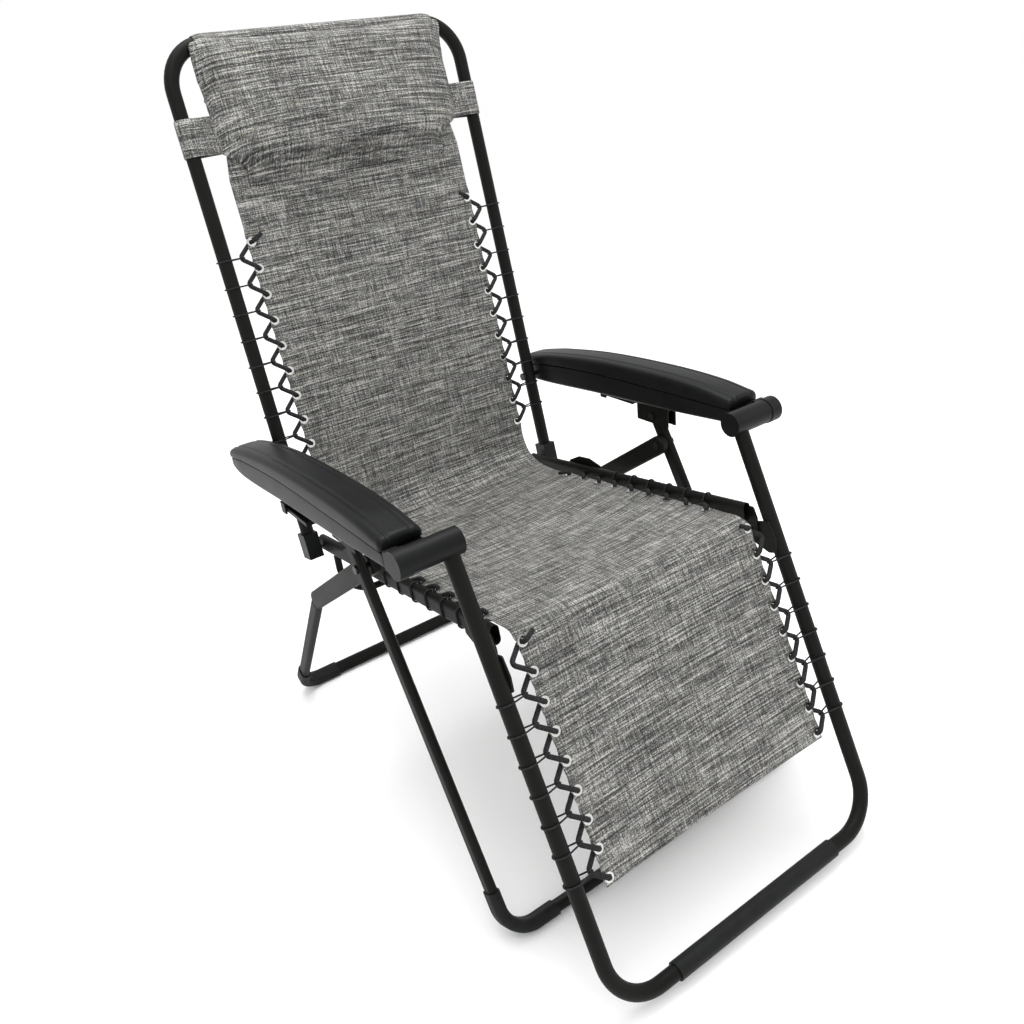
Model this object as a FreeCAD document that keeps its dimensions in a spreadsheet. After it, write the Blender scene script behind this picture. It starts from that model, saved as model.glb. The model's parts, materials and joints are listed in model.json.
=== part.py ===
import FreeCAD, Part
import math
import os
import Sketcher

# Zero gravity recliner: a steel tube chair on a folding base. +Z up, the sitter faces -Y, +X is the
# sitter's left. Lengths are in millimetres. The origin is on the floor under the middle of the chair.
#
# Four links carry the sitter: armrests, back frame, seat rails and leg rest frame. Their four pivots
# form a parallelogram, so the armrests stay parallel to the seat at every angle.

V = FreeCAD.Vector
doc = FreeCAD.newDocument("ZeroGravityRecliner")

DIMENSIONS = {
    "frame_half": 253.0,        # centre of the back and leg rest tubes, either side
    "tube_dia": 22.0,
    "tube_wall": 1.2,
    "rail_half": 227.5,
    "rail_thick": 14.0,
    "rail_tall": 28.0,
    "rear_half": 274.0,
    "front_half": 291.0,
    "leg_thick": 14.0,
    "leg_tall": 26.0,
    "leg_wall": 1.3,
    "back_length": 796.0,
    "back_bend": 65.0,
    "back_lean": 11.56,         # degrees behind vertical
    "back_pivot_y": 240.0,
    "back_pivot_z": 400.0,
    "rest_length": 637.0,
    "rest_bend": 68.0,
    "rest_lean": 25.2,
    "hinge_y": 236.0,           # seat to back pivot
    "hinge_z": 404.0,
    "link_y": 40.0,             # from seat pivots up to armrest pivots
    "link_z": 160.0,
    "arm_y": 527.0,             # from the back pivots forward to the leg rest pivots
    "arm_z": 38.0,
    "rail_pitch": 8.0,
    "rail_length": 534.0,
    "rail_end": 14.0,
    "front_pivot_y": -35.0,
    "front_pivot_z": 549.0,
    "front_length": 612.5,
    "front_lean": 28.6,
    "front_bend": 46.0,
    "scissor_drop": 50.0,       # along the front leg, armrest pivot to rear leg pivot
    "knee_y": 209.0,
    "knee_z": 324.0,
    "rear_length": 387.3,
    "rear_lean": -36.3,
    "rear_bend": 46.0,
    "link_wide": 32.0,
    "arm_half": 297.5,
    "arm_wide": 61.0,
    "barrel_dia": 36.0,
    "bolt_dia": 8.0,
    "sling_half": 211.0,
    "sling_thick": 2.0,
    "grommet_half": 203.0,
    "grommet_outer": 14.6,
    "grommet_bore": 9.0,
    "grommet_thick": 3.4,
    "cord_dia": 4.6,
    "loop_dia": 2.4,
    "cord_pitch": 41.5,
    "apex_half": 228.5,
    "pillow_wide": 408.0,
    "pillow_tall": 150.0,
    "pillow_deep": 46.0,
    "strap_wide": 58.0,
    "plate": 3.0,
    "brace_dia": 12.0,
    "brace_drop": 84.0,
    "brace_bend": 62.0,
    "brace_y": 200.0,
    "centre_shift": 41.5,       # moves the whole chair back, so its middle is over the origin
}

sheet = doc.addObject("Spreadsheet::Sheet", "Dims")
for row, (alias, value) in enumerate(DIMENSIONS.items(), 1):
    sheet.set(f"A{row}", alias)
    sheet.set(f"B{row}", str(value))
    sheet.setAlias(f"B{row}", alias)
doc.recompute()


def size(alias):
    """The value of a spreadsheet cell."""
    return float(getattr(sheet, alias))


SUB_PARTS = []


def sub_part(obj, label):
    """Name an object as one piece of the chair."""
    obj.Label = label
    SUB_PARTS.append(obj)
    return obj


def turned(y, z, angle, x=0.0):
    """A placement at (x, y, z) that tips the local XY plane by angle about X."""
    return FreeCAD.Placement(V(x, y, z), FreeCAD.Rotation(V(1, 0, 0), angle))


# Places of the six frames. In each, local X is across the chair and local -Y runs down the tubes,
# or up them for the back frame, away from the pivot at the origin.
BACK_AT = turned(size("back_pivot_y"), size("back_pivot_z"), 270 - size("back_lean"))
HINGE = (size("hinge_y"), size("hinge_z"))
ARM_REAR = (HINGE[0] + size("link_y"), HINGE[1] + size("link_z"))
ARM_FRONT = (ARM_REAR[0] - size("arm_y"), ARM_REAR[1] + size("arm_z"))
KNEE_PIVOT = (HINGE[0] - size("arm_y"), HINGE[1] + size("arm_z"))
RAIL_AT = turned(*HINGE, -size("rail_pitch"))
REST_AT = turned(*ARM_FRONT, 90 - size("rest_lean"))
FRONT_PIVOT = (size("front_pivot_y"), size("front_pivot_z"))
FRONT_AT = turned(*FRONT_PIVOT, 90 - size("front_lean"))
LEAN = math.radians(size("front_lean"))
SCISSOR = (
    FRONT_PIVOT[0] - size("scissor_drop") * math.sin(LEAN),
    FRONT_PIVOT[1] - size("scissor_drop") * math.cos(LEAN),
)
KNEE = (size("knee_y"), size("knee_z"))
REAR_AT = turned(*KNEE, 90 - size("rear_lean"))


# ---------------------------------------------------------------- sketches and bodies

def new_body(name):
    return doc.addObject("PartDesign::Body", name)


def plane(body, role):
    return next(f for f in body.Origin.OriginFeatures if f.Role == role)


def new_sketch(body, name, role="XY_Plane", offset=0.0):
    sketch = body.newObject("Sketcher::SketchObject", name)
    sketch.AttachmentSupport = (plane(body, role), "")
    sketch.MapMode = "FlatFace"
    sketch.AttachmentOffset = FreeCAD.Placement(V(0, 0, offset), FreeCAD.Rotation())
    return sketch


def bind(sketch, kind, *refs_and_expression):
    """Add one measured constraint and drive it from the spreadsheet."""
    *refs, value, expression = refs_and_expression
    index = sketch.addConstraint(Sketcher.Constraint(kind, *refs, value))
    sketch.setExpression(f"Constraints[{index}]", expression)


def circle(sketch, x, dia, x_expr, dia_expr):
    """A circle on the sketch's X axis."""
    g = sketch.addGeometry(Part.Circle(V(x, 0, 0), V(0, 0, 1), dia / 2), False)
    sketch.addConstraint(Sketcher.Constraint("PointOnObject", g, 3, -1))
    bind(sketch, "DistanceX", -1, 1, g, 3, x, x_expr)
    bind(sketch, "Diameter", g, dia, dia_expr)


def slot(sketch, x, thick, tall, x_expr, thick_expr, tall_expr):
    """A flat oval, upright in the sketch, centred on the sketch's X axis at x."""
    r, c = thick / 2, (tall - thick) / 2
    up = sketch.addGeometry(Part.ArcOfCircle(Part.Circle(V(x, c, 0), V(0, 0, 1), r), 0, math.pi))
    down = sketch.addGeometry(
        Part.ArcOfCircle(Part.Circle(V(x, -c, 0), V(0, 0, 1), r), math.pi, 2 * math.pi)
    )
    left = sketch.addGeometry(Part.LineSegment(V(x - r, c, 0), V(x - r, -c, 0)))
    right = sketch.addGeometry(Part.LineSegment(V(x + r, -c, 0), V(x + r, c, 0)))
    for a, pa, b, pb in ((up, 2, left, 1), (left, 2, down, 1), (down, 2, right, 1), (right, 2, up, 1)):
        sketch.addConstraint(Sketcher.Constraint("Tangent", a, pa, b, pb))
    sketch.addConstraint(Sketcher.Constraint("Vertical", left))
    bind(sketch, "Radius", up, r, f"({thick_expr}) / 2")
    bind(sketch, "DistanceX", -1, 1, up, 3, x, x_expr)
    bind(sketch, "DistanceY", -1, 1, up, 3, c, f"(({tall_expr}) - ({thick_expr})) / 2")
    bind(sketch, "DistanceY", down, 3, -1, 1, c, f"(({tall_expr}) - ({thick_expr})) / 2")


def u_path(body, half, length, bend):
    """The centre line of a U frame: two legs down local -Y from the X axis, and a bar between them.
    The three arguments are spreadsheet aliases."""
    h_, l_, r_ = size(half), size(length), size(bend)
    s = new_sketch(body, body.Name + "_path")
    k = V(0, 0, 1)
    left = s.addGeometry(Part.LineSegment(V(-h_, 0, 0), V(-h_, -l_ + r_, 0)))
    turn1 = s.addGeometry(
        Part.ArcOfCircle(Part.Circle(V(-h_ + r_, -l_ + r_, 0), k, r_), math.pi, 1.5 * math.pi)
    )
    bar = s.addGeometry(Part.LineSegment(V(-h_ + r_, -l_, 0), V(h_ - r_, -l_, 0)))
    turn2 = s.addGeometry(
        Part.ArcOfCircle(Part.Circle(V(h_ - r_, -l_ + r_, 0), k, r_), 1.5 * math.pi, 2 * math.pi)
    )
    right = s.addGeometry(Part.LineSegment(V(h_, -l_ + r_, 0), V(h_, 0, 0)))
    joints = ((left, 2, turn1, 1), (turn1, 2, bar, 1), (bar, 2, turn2, 1), (turn2, 2, right, 1))
    for a, pa, b, pb in joints:
        s.addConstraint(Sketcher.Constraint("Tangent", a, pa, b, pb))
    s.addConstraint(Sketcher.Constraint("Vertical", left))
    s.addConstraint(Sketcher.Constraint("PointOnObject", left, 1, -1))
    s.addConstraint(Sketcher.Constraint("PointOnObject", right, 2, -1))
    bind(s, "DistanceX", left, 1, -1, 1, h_, f"Dims.{half}")
    bind(s, "DistanceX", -1, 1, right, 2, h_, f"Dims.{half}")
    bind(s, "DistanceY", bar, 1, -1, 1, l_, f"Dims.{length}")
    bind(s, "Radius", turn1, r_, f"Dims.{bend}")
    bind(s, "Radius", turn2, r_, f"Dims.{bend}")
    return s


def sweep(body, profile, path, edges=5):
    pipe = body.newObject("PartDesign::AdditivePipe", body.Name + "_pipe")
    pipe.Profile = profile
    pipe.Spine = (path, [f"Edge{n + 1}" for n in range(edges)])
    body.Tip = pipe
    return pipe


def round_frame(name, half, length, bend):
    """A U frame of round tube, open at its two ends."""
    body = new_body(name)
    path = u_path(body, half, length, bend)
    ring = new_sketch(body, name + "_ring", "XZ_Plane")
    circle(ring, -size(half), size("tube_dia"), f"-Dims.{half}", "Dims.tube_dia")
    bore = size("tube_dia") - 2 * size("tube_wall")
    circle(ring, -size(half), bore, f"-Dims.{half}", "Dims.tube_dia - 2 * Dims.tube_wall")
    sweep(body, ring, path)
    return body


def oval_frame(name, half, length, bend):
    """A U frame of flat oval tube, its flat sides facing outwards."""
    body = new_body(name)
    path = u_path(body, half, length, bend)
    ring = new_sketch(body, name + "_ring", "XZ_Plane")
    thick, tall, wall = size("leg_thick"), size("leg_tall"), size("leg_wall")
    slot(ring, -size(half), thick, tall, f"-Dims.{half}", "Dims.leg_thick", "Dims.leg_tall")
    inner = ("Dims.leg_thick - 2 * Dims.leg_wall", "Dims.leg_tall - 2 * Dims.leg_wall")
    slot(ring, -size(half), thick - 2 * wall, tall - 2 * wall, f"-Dims.{half}", *inner)
    sweep(body, ring, path)
    return body


def outline(sketch, points):
    """A closed polygon whose corners are given as (x, y) pairs, each held by two measures."""
    n = len(points)
    lines = []
    for i in range(n):
        a, b = points[i], points[(i + 1) % n]
        lines.append(sketch.addGeometry(Part.LineSegment(V(*a, 0), V(*b, 0))))
    for i in range(n):
        sketch.addConstraint(Sketcher.Constraint("Coincident", lines[i], 2, lines[(i + 1) % n], 1))
    for g, (x, y) in zip(lines, points):
        sketch.addConstraint(Sketcher.Constraint("DistanceX", -1, 1, g, 1, x))
        sketch.addConstraint(Sketcher.Constraint("DistanceY", -1, 1, g, 1, y))


def pad(body, sketch, length, expression=None, both=False):
    feature = body.newObject("PartDesign::Pad", body.Name + "_pad")
    feature.Profile = sketch
    feature.Length = length
    if expression:
        feature.setExpression("Length", expression)
    feature.Midplane = both
    body.Tip = feature
    return feature


def rounded(body, base, radius, wanted):
    """Fillet the edges of base for which wanted(edge) is true."""
    doc.recompute()
    names = [f"Edge{i + 1}" for i, e in enumerate(base.Shape.Edges) if wanted(e)]
    fillet = body.newObject("PartDesign::Fillet", body.Name + "_round")
    fillet.Base = (base, names)
    fillet.Radius = radius
    body.Tip = fillet
    return fillet

def drill(body, base_points, dia_alias, extra=0.0):
    """Bore round holes across the chair through every leg of a frame, at (local y, local z)."""
    s = new_sketch(body, body.Name + "_bores", "YZ_Plane")
    dia = size(dia_alias) + extra
    for y, z in base_points:
        g = s.addGeometry(Part.Circle(V(y, z, 0), V(0, 0, 1), dia / 2))
        s.addConstraint(Sketcher.Constraint("DistanceX", -1, 1, g, 3, y))
        s.addConstraint(Sketcher.Constraint("DistanceY", -1, 1, g, 3, z))
        bind(s, "Diameter", g, dia, f"Dims.{dia_alias} + {extra}")
    doc.recompute()
    before = body.Shape.Volume
    pocket = body.newObject("PartDesign::Pocket", body.Name + "_drilled")
    pocket.Profile = s
    pocket.Type = "ThroughAll"
    pocket.Midplane = True
    body.Tip = pocket
    doc.recompute()
    if body.Shape.Volume >= before:
        raise RuntimeError(f"{body.Name}: the bores missed the body")
    return pocket


def local(placement, y, z):
    """A side view point (y, z) of the chair, in the local (y, z) of a frame."""
    p = placement.inverse().multVec(V(0, y, z))
    return p.y, p.z


def feature(shape, label, placement=None):
    """A piece whose shape is worked out by code: a row of equal solids, or a cord."""
    obj = doc.addObject("Part::Feature", label)
    obj.Shape = shape
    if placement is not None:
        obj.Placement = placement
    return sub_part(obj, label)


def both_sides(make):
    """make(side) for the right (-1) and left (+1) side of the chair."""
    return [make(side) for side in (-1, 1)]


SIDE_NAME = {-1: "right", 1: "left"}


def at_side(placement, x):
    """The same placement moved across the chair."""
    return FreeCAD.Placement(placement.Base + V(x, 0, 0), placement.Rotation)


# ---------------------------------------------------------------- back frame

back_frame = round_frame("back_frame", "frame_half", "back_length", "back_bend")
drill(back_frame, [local(BACK_AT, *HINGE), local(BACK_AT, *ARM_REAR)], "bolt_dia", 0.12)
back_frame.Placement = BACK_AT
sub_part(back_frame, "back_frame")


def end_collar(side):
    """The block that closes the lower end of a back tube and takes the seat pivot bolt."""
    name = f"back_end_collar_{SIDE_NAME[side]}"
    body = new_body(name)
    s = new_sketch(body, name + "_block", "XZ_Plane", -12.0)
    outline(s, [(side * 13.3, -15.0), (-side * 12.0, -15.0), (-side * 12.0, 15.0), (side * 13.3, 15.0)])
    base = pad(body, s, 44.0)
    bore = new_sketch(body, name + "_seat", "XZ_Plane", 0.0)
    circle(bore, 0.0, size("tube_dia") + 0.1, "0", "Dims.tube_dia + 0.1")
    doc.recompute()
    pocket = body.newObject("PartDesign::Pocket", name + "_socket")
    pocket.Profile = bore
    pocket.Length = 60.0
    pocket.Midplane = False
    pocket.Reversed = True
    body.Tip = pocket
    doc.recompute()
    if base.Shape.Volume <= body.Shape.Volume:
        raise RuntimeError(f"{name}: the socket missed the block")
    drill(body, [local(BACK_AT, *HINGE)], "bolt_dia", 0.12)
    body.Placement = at_side(BACK_AT, side * size("frame_half"))
    return sub_part(body, name)


both_sides(end_collar)


# ---------------------------------------------------------------- seat

def seat_rail(side):
    name = f"seat_rail_{SIDE_NAME[side]}"
    body = new_body(name)
    s = new_sketch(body, name + "_section", "XZ_Plane", -size("rail_end"))
    slot(s, 0.0, size("rail_thick"), size("rail_tall"), "0", "Dims.rail_thick", "Dims.rail_tall")
    inner = ("Dims.rail_thick - 2 * Dims.tube_wall", "Dims.rail_tall - 2 * Dims.tube_wall")
    wall = 2 * size("tube_wall")
    slot(s, 0.0, size("rail_thick") - wall, size("rail_tall") - wall, "0", *inner)
    pad(body, s, size("rail_length") + size("rail_end"), "Dims.rail_length + Dims.rail_end")
    drill(body, [(0.0, 0.0)], "bolt_dia", 0.12)
    body.Placement = at_side(RAIL_AT, side * size("rail_half"))
    return sub_part(body, name)


both_sides(seat_rail)

PLATE_X = 234.7     # inner face of the plates welded to the outer side of the seat rails


def plate_part(name, side, inner_x, thick, points, bores, place=None):
    """A flat steel plate standing across the X axis, outlined in side view, with bolt holes."""
    body = new_body(name)
    s = new_sketch(body, name + "_outline", "YZ_Plane")
    outline(s, points)
    base = pad(body, s, thick, None, True)
    rounded(body, base, 4.0, lambda e: abs(e.tangentAt(0).x) > 0.99)
    doc.recompute()
    if bores:
        drill(body, bores, "bolt_dia", 0.12)
    body.Placement = place or FreeCAD.Placement()
    body.Placement.Base += V(side * (inner_x + thick / 2), 0, 0)
    return sub_part(body, name)


KY, KZ = KNEE_PIVOT
GUSSET = [
    (KY + 56, KZ + 16), (KY + 56, KZ + 36), (KY - 6, KZ + 42), (KY - 14, KZ + 26),
    (KY - 17, KZ - 4), (KY - 6, KZ - 16), (KY + 10, KZ - 14), (KY + 22, KZ + 2),
]
EAR = [
    (KY + 13, KZ + 8), (KY - 4, KZ + 17), (KY - 32, KZ + 26), (KY - 46, KZ + 2),
    (KY - 49, KZ - 20), (KY - 36, KZ - 25), (KY + 6, KZ - 14), (KY + 13, KZ - 6),
]
HUMP_Y = 100.0


def rail_top(y):
    """Height of the middle of the seat rail at y."""
    return HINGE[1] + (HINGE[0] - y) * math.tan(math.radians(size("rail_pitch")))


HUMP = [
    (HUMP_Y + 50, rail_top(HUMP_Y + 50) - 6), (HUMP_Y + 42, rail_top(HUMP_Y + 42) + 15),
    (HUMP_Y + 16, rail_top(HUMP_Y + 16) + 25), (HUMP_Y - 14, rail_top(HUMP_Y - 14) + 25),
    (HUMP_Y - 44, rail_top(HUMP_Y - 44) + 15), (HUMP_Y - 50, rail_top(HUMP_Y - 50) - 6),
]
for side in (-1, 1):
    hand = SIDE_NAME[side]
    plate_part(f"knee_gusset_{hand}", side, PLATE_X, size("plate"), GUSSET, [KNEE_PIVOT])
    plate_part(f"leg_rest_ear_{hand}", side, PLATE_X + 3.8, size("plate"), EAR, [KNEE_PIVOT])
    plate_part(f"rail_stop_{hand}", side, PLATE_X, 2.4, HUMP, [])

brace = new_body("seat_cross_brace")
path = u_path(brace, "rail_half", "brace_drop", "brace_bend")
ring = new_sketch(brace, "brace_section", "XZ_Plane")
circle(ring, -size("rail_half"), size("brace_dia"), "-Dims.rail_half", "Dims.brace_dia")
sweep(brace, ring, path)
brace.Placement = turned(size("brace_y"), rail_top(size("brace_y")) - 15.2, 90)
sub_part(brace, "seat_cross_brace")


# ---------------------------------------------------------------- leg rest

leg_frame = round_frame("leg_rest_frame", "frame_half", "rest_length", "rest_bend")
drill(leg_frame, [(0.0, 0.0)], "barrel_dia", 0.1)
leg_frame.Placement = REST_AT
sub_part(leg_frame, "leg_rest_frame")

BARREL_IN, BARREL_OUT = 236.0, 308.0
CHEEK_IN, CHEEK_OUT = 308.5, 328.0
PIN_DIA = 10.0


def cylinder(name, y, z, x0, x1, dia, expression=None):
    """A Part cylinder across the chair, from x0 to x1."""
    c = doc.addObject("Part::Cylinder", name)
    c.Radius = dia / 2
    c.Height = abs(x1 - x0)
    if expression:
        c.setExpression("Radius", expression)
    c.Placement = FreeCAD.Placement(V(min(x0, x1), y, z), FreeCAD.Rotation(V(0, 1, 0), 90))
    return c


def cut(base, tool, name):
    c = doc.addObject("Part::Cut", name)
    c.Base, c.Tool = base, tool
    return c


def fuse(parts, name):
    f = doc.addObject("Part::MultiFuse", name)
    f.Shapes = parts
    f.Refine = True
    return f


def pivot_barrel(side):
    """The moulded knuckle on top of a leg rest tube, bored for the armrest's pin."""
    hand = SIDE_NAME[side]
    y, z = ARM_FRONT
    outer = cylinder(f"barrel_{hand}", y, z, side * BARREL_IN, side * BARREL_OUT, size("barrel_dia"),
                     "Dims.barrel_dia / 2")
    bore = cylinder(f"barrel_bore_{hand}", y, z, side * 249.0, side * 312.0, PIN_DIA + 1.0)
    return sub_part(cut(outer, bore, f"leg_rest_knuckle_{hand}"), f"leg_rest_knuckle_{hand}")


both_sides(pivot_barrel)

bar = REST_AT.multVec(V(0, -size("rest_length"), 0))
sleeve_out = cylinder("sleeve_out", bar.y, bar.z, -158.0, 158.0, size("tube_dia") + 5.0,
                      "Dims.tube_dia / 2 + 2.5")
sleeve_in = cylinder("sleeve_in", bar.y, bar.z, -160.0, 160.0, size("tube_dia") + 0.1,
                     "Dims.tube_dia / 2 + 0.05")
sub_part(cut(sleeve_out, sleeve_in, "foot_bar_sleeve"), "foot_bar_sleeve")


# ---------------------------------------------------------------- folding base

front_frame = oval_frame("front_leg_frame", "front_half", "front_length", "front_bend")
drill(front_frame, [(0.0, 0.0), (-size("scissor_drop"), 0.0)], "bolt_dia", 0.12)
front_frame.Placement = FRONT_AT
sub_part(front_frame, "front_leg_frame")

rear_frame = oval_frame("rear_leg_frame", "rear_half", "rear_length", "rear_bend")
drill(rear_frame, [(0.0, 0.0)], "link_wide", 0.2)
rear_frame.Placement = REAR_AT
sub_part(rear_frame, "rear_leg_frame")

LINK_LENGTH = math.hypot(KNEE[0] - SCISSOR[0], KNEE[1] - SCISSOR[1])
LINK_AT = turned(*SCISSOR, math.degrees(math.atan2(SCISSOR[1] - KNEE[1], SCISSOR[0] - KNEE[0])))


def rear_link(side):
    """The wide upper part of a rear leg, from its pivot on the front leg down to the knee."""
    name = f"rear_leg_link_{SIDE_NAME[side]}"
    body = new_body(name)
    s = new_sketch(body, name + "_outline", "YZ_Plane")
    r, n = size("link_wide") / 2, LINK_LENGTH
    k = V(0, 0, 1)
    top = s.addGeometry(Part.ArcOfCircle(Part.Circle(V(0, 0, 0), k, r), -math.pi / 2, math.pi / 2))
    low = s.addGeometry(Part.ArcOfCircle(Part.Circle(V(-n, 0, 0), k, r), math.pi / 2, 1.5 * math.pi))
    upper = s.addGeometry(Part.LineSegment(V(0, r, 0), V(-n, r, 0)))
    lower = s.addGeometry(Part.LineSegment(V(-n, -r, 0), V(0, -r, 0)))
    for a, pa, b, pb in ((top, 2, upper, 1), (upper, 2, low, 1), (low, 2, lower, 1), (lower, 2, top, 1)):
        s.addConstraint(Sketcher.Constraint("Tangent", a, pa, b, pb))
    s.addConstraint(Sketcher.Constraint("Coincident", top, 3, -1, 1))
    s.addConstraint(Sketcher.Constraint("PointOnObject", low, 3, -1))
    s.addConstraint(Sketcher.Constraint("DistanceX", low, 3, -1, 1, n))
    bind(s, "Radius", top, r, "Dims.link_wide / 2")
    base = pad(body, s, size("leg_thick"), "Dims.leg_thick", True)
    rounded(body, base, 4.0, lambda e: abs(e.tangentAt(0).x) < 0.1)
    doc.recompute()
    drill(body, [(0.0, 0.0)], "bolt_dia", 0.12)
    body.Placement = at_side(LINK_AT, side * size("rear_half"))
    return sub_part(body, name)


both_sides(rear_link)


def foot_cap(name, side, placement, half, length, bend):
    """A rubber cap round one bottom corner of a leg frame, ground flat where it stands."""
    body = new_body(name + "_moulding")
    h_, l_, r_ = size(half), size(length), size(bend)
    k = V(0, 0, 1)
    x0, above, along = side * h_, 26.0, 34.0
    s = new_sketch(body, name + "_path")
    leg = s.addGeometry(Part.LineSegment(V(x0, -l_ + r_ + above, 0), V(x0, -l_ + r_, 0)))
    if side < 0:
        arc = Part.ArcOfCircle(Part.Circle(V(x0 + r_, -l_ + r_, 0), k, r_), math.pi, 1.5 * math.pi)
        first, last = 1, 2
    else:
        arc = Part.ArcOfCircle(Part.Circle(V(x0 - r_, -l_ + r_, 0), k, r_), 1.5 * math.pi, 2 * math.pi)
        first, last = 2, 1
    bend_arc = s.addGeometry(arc)
    inner = x0 - side * r_
    floor = s.addGeometry(Part.LineSegment(V(inner, -l_, 0), V(inner - side * along, -l_, 0)))
    s.addConstraint(Sketcher.Constraint("Tangent", leg, 2, bend_arc, first))
    s.addConstraint(Sketcher.Constraint("Tangent", bend_arc, last, floor, 1))
    s.addConstraint(Sketcher.Constraint("Vertical", leg))
    bind(s, "DistanceX", -1, 1, leg, 1, x0, f"{side} * Dims.{half}")
    bind(s, "DistanceY", -1, 1, floor, 1, -l_, f"-Dims.{length}")
    bind(s, "Radius", bend_arc, r_, f"Dims.{bend}")
    s.addConstraint(Sketcher.Constraint("DistanceY", leg, 2, leg, 1, above))
    s.addConstraint(Sketcher.Constraint("Distance", floor, along))
    ring = new_sketch(body, name + "_ring", "XZ_Plane", l_ - r_ - above)
    thick, tall = size("leg_thick"), size("leg_tall")
    slot(ring, x0, thick + 5, tall + 5, f"{side} * Dims.{half}", "Dims.leg_thick + 5", "Dims.leg_tall + 5")
    slot(ring, x0, thick + 0.3, tall + 0.3, f"{side} * Dims.{half}", "Dims.leg_thick + 0.3",
         "Dims.leg_tall + 0.3")
    sweep(body, ring, s, 3)
    body.Placement = placement
    floor_block = doc.addObject("Part::Box", name + "_floor")
    floor_block.Length, floor_block.Width, floor_block.Height = 800, 1200, 50
    floor_block.Placement = FreeCAD.Placement(V(-400, -600, -50), FreeCAD.Rotation())
    return sub_part(cut(body, floor_block, name), name)


for side in (-1, 1):
    hand = SIDE_NAME[side]
    foot_cap(f"front_foot_cap_{hand}", side, FRONT_AT, "front_half", "front_length", "front_bend")
    foot_cap(f"rear_foot_cap_{hand}", side, REAR_AT, "rear_half", "rear_length", "rear_bend")


# ---------------------------------------------------------------- armrests

PAD_TOP = [(330, 577), (322, 586), (296, 595), (230, 608), (100, 624), (-60, 632), (-160, 631), (-222, 624)]
GROOVE = [(-229, 608), (-100, 606), (103, 600), (250, 586), (331, 571)]
SHELL_LOW = [(322, 560), (300, 553), (240, 553), (90, 563), (-100, 575), (-229, 586)]


def armrest_piece(name, side, points, top_round, low_round, bores=()):
    """One moulding of an armrest: a side outline as wide as the armrest, with rounded edges."""
    body = new_body(name)
    s = new_sketch(body, name + "_outline", "YZ_Plane")
    outline(s, points)
    base = pad(body, s, size("arm_wide"), "Dims.arm_wide", True)
    half = size("arm_wide") / 2

    def side_edge(e, upper):
        middle = e.valueAt((e.FirstParameter + e.LastParameter) / 2)
        on_top = any(abs(middle.y - (a[0] + b[0]) / 2) < 0.5 and abs(middle.z - (a[1] + b[1]) / 2) < 0.5
                     for a, b in zip(upper, upper[1:]))
        return abs(abs(middle.x) - half) < 0.01 and on_top

    if top_round:
        base = rounded(body, base, top_round, lambda e: side_edge(e, PAD_TOP))
    if low_round:
        base = rounded(body, base, low_round, lambda e: side_edge(e, SHELL_LOW))
    doc.recompute()
    if bores:
        drill(body, bores, "bolt_dia", 0.12)
    body.Placement = FreeCAD.Placement(V(side * size("arm_half"), 0, 0), FreeCAD.Rotation())
    return sub_part(body, name)


def nose_cheek(side):
    """The outer end of an armrest, which carries the fixed pin of the leg rest pivot."""
    hand = SIDE_NAME[side]
    y, z = ARM_FRONT
    disc = cylinder(f"cheek_{hand}", y, z, side * CHEEK_IN, side * CHEEK_OUT, size("barrel_dia") + 2)
    pin = cylinder(f"cheek_pin_{hand}", y, z, side * 252.0, side * (CHEEK_IN + 2), PIN_DIA)
    web = doc.addObject("Part::Box", f"cheek_web_{hand}")
    web.Length, web.Width, web.Height = CHEEK_OUT - CHEEK_IN, 22.0, 26.0
    left = side * CHEEK_IN if side > 0 else -CHEEK_OUT
    web.Placement = FreeCAD.Placement(V(left, y, z - 14.0), FreeCAD.Rotation())
    return sub_part(fuse([disc, pin, web], f"armrest_nose_{hand}"), f"armrest_nose_{hand}")


def front_bracket(side):
    """The forked steel bracket under an armrest that holds the top of the front leg."""
    hand = SIDE_NAME[side]
    y, z = FRONT_PIVOT
    block = doc.addObject("Part::Box", f"fork_block_{hand}")
    block.Length, block.Width, block.Height = 19.0, 74.0, 32.0
    corner = V(side * size("front_half") - 9.5, y - 38, z - 13)
    block.Placement = FreeCAD.Placement(corner, FreeCAD.Rotation())
    gap = doc.addObject("Part::Box", f"fork_gap_{hand}")
    gap.Length, gap.Width, gap.Height = 14.6, 80.0, 30.0
    gap.Placement = FreeCAD.Placement(V(side * size("front_half") - 7.3, y - 41, z - 14), FreeCAD.Rotation())
    opened = cut(block, gap, f"fork_{hand}")
    hole = cylinder(f"fork_bore_{hand}", y, z, side * 270.0, side * 310.0, size("bolt_dia") + 0.12)
    return sub_part(cut(opened, hole, f"armrest_fork_{hand}"), f"armrest_fork_{hand}")


LEVER_AT = (112.0, 549.5)


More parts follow.
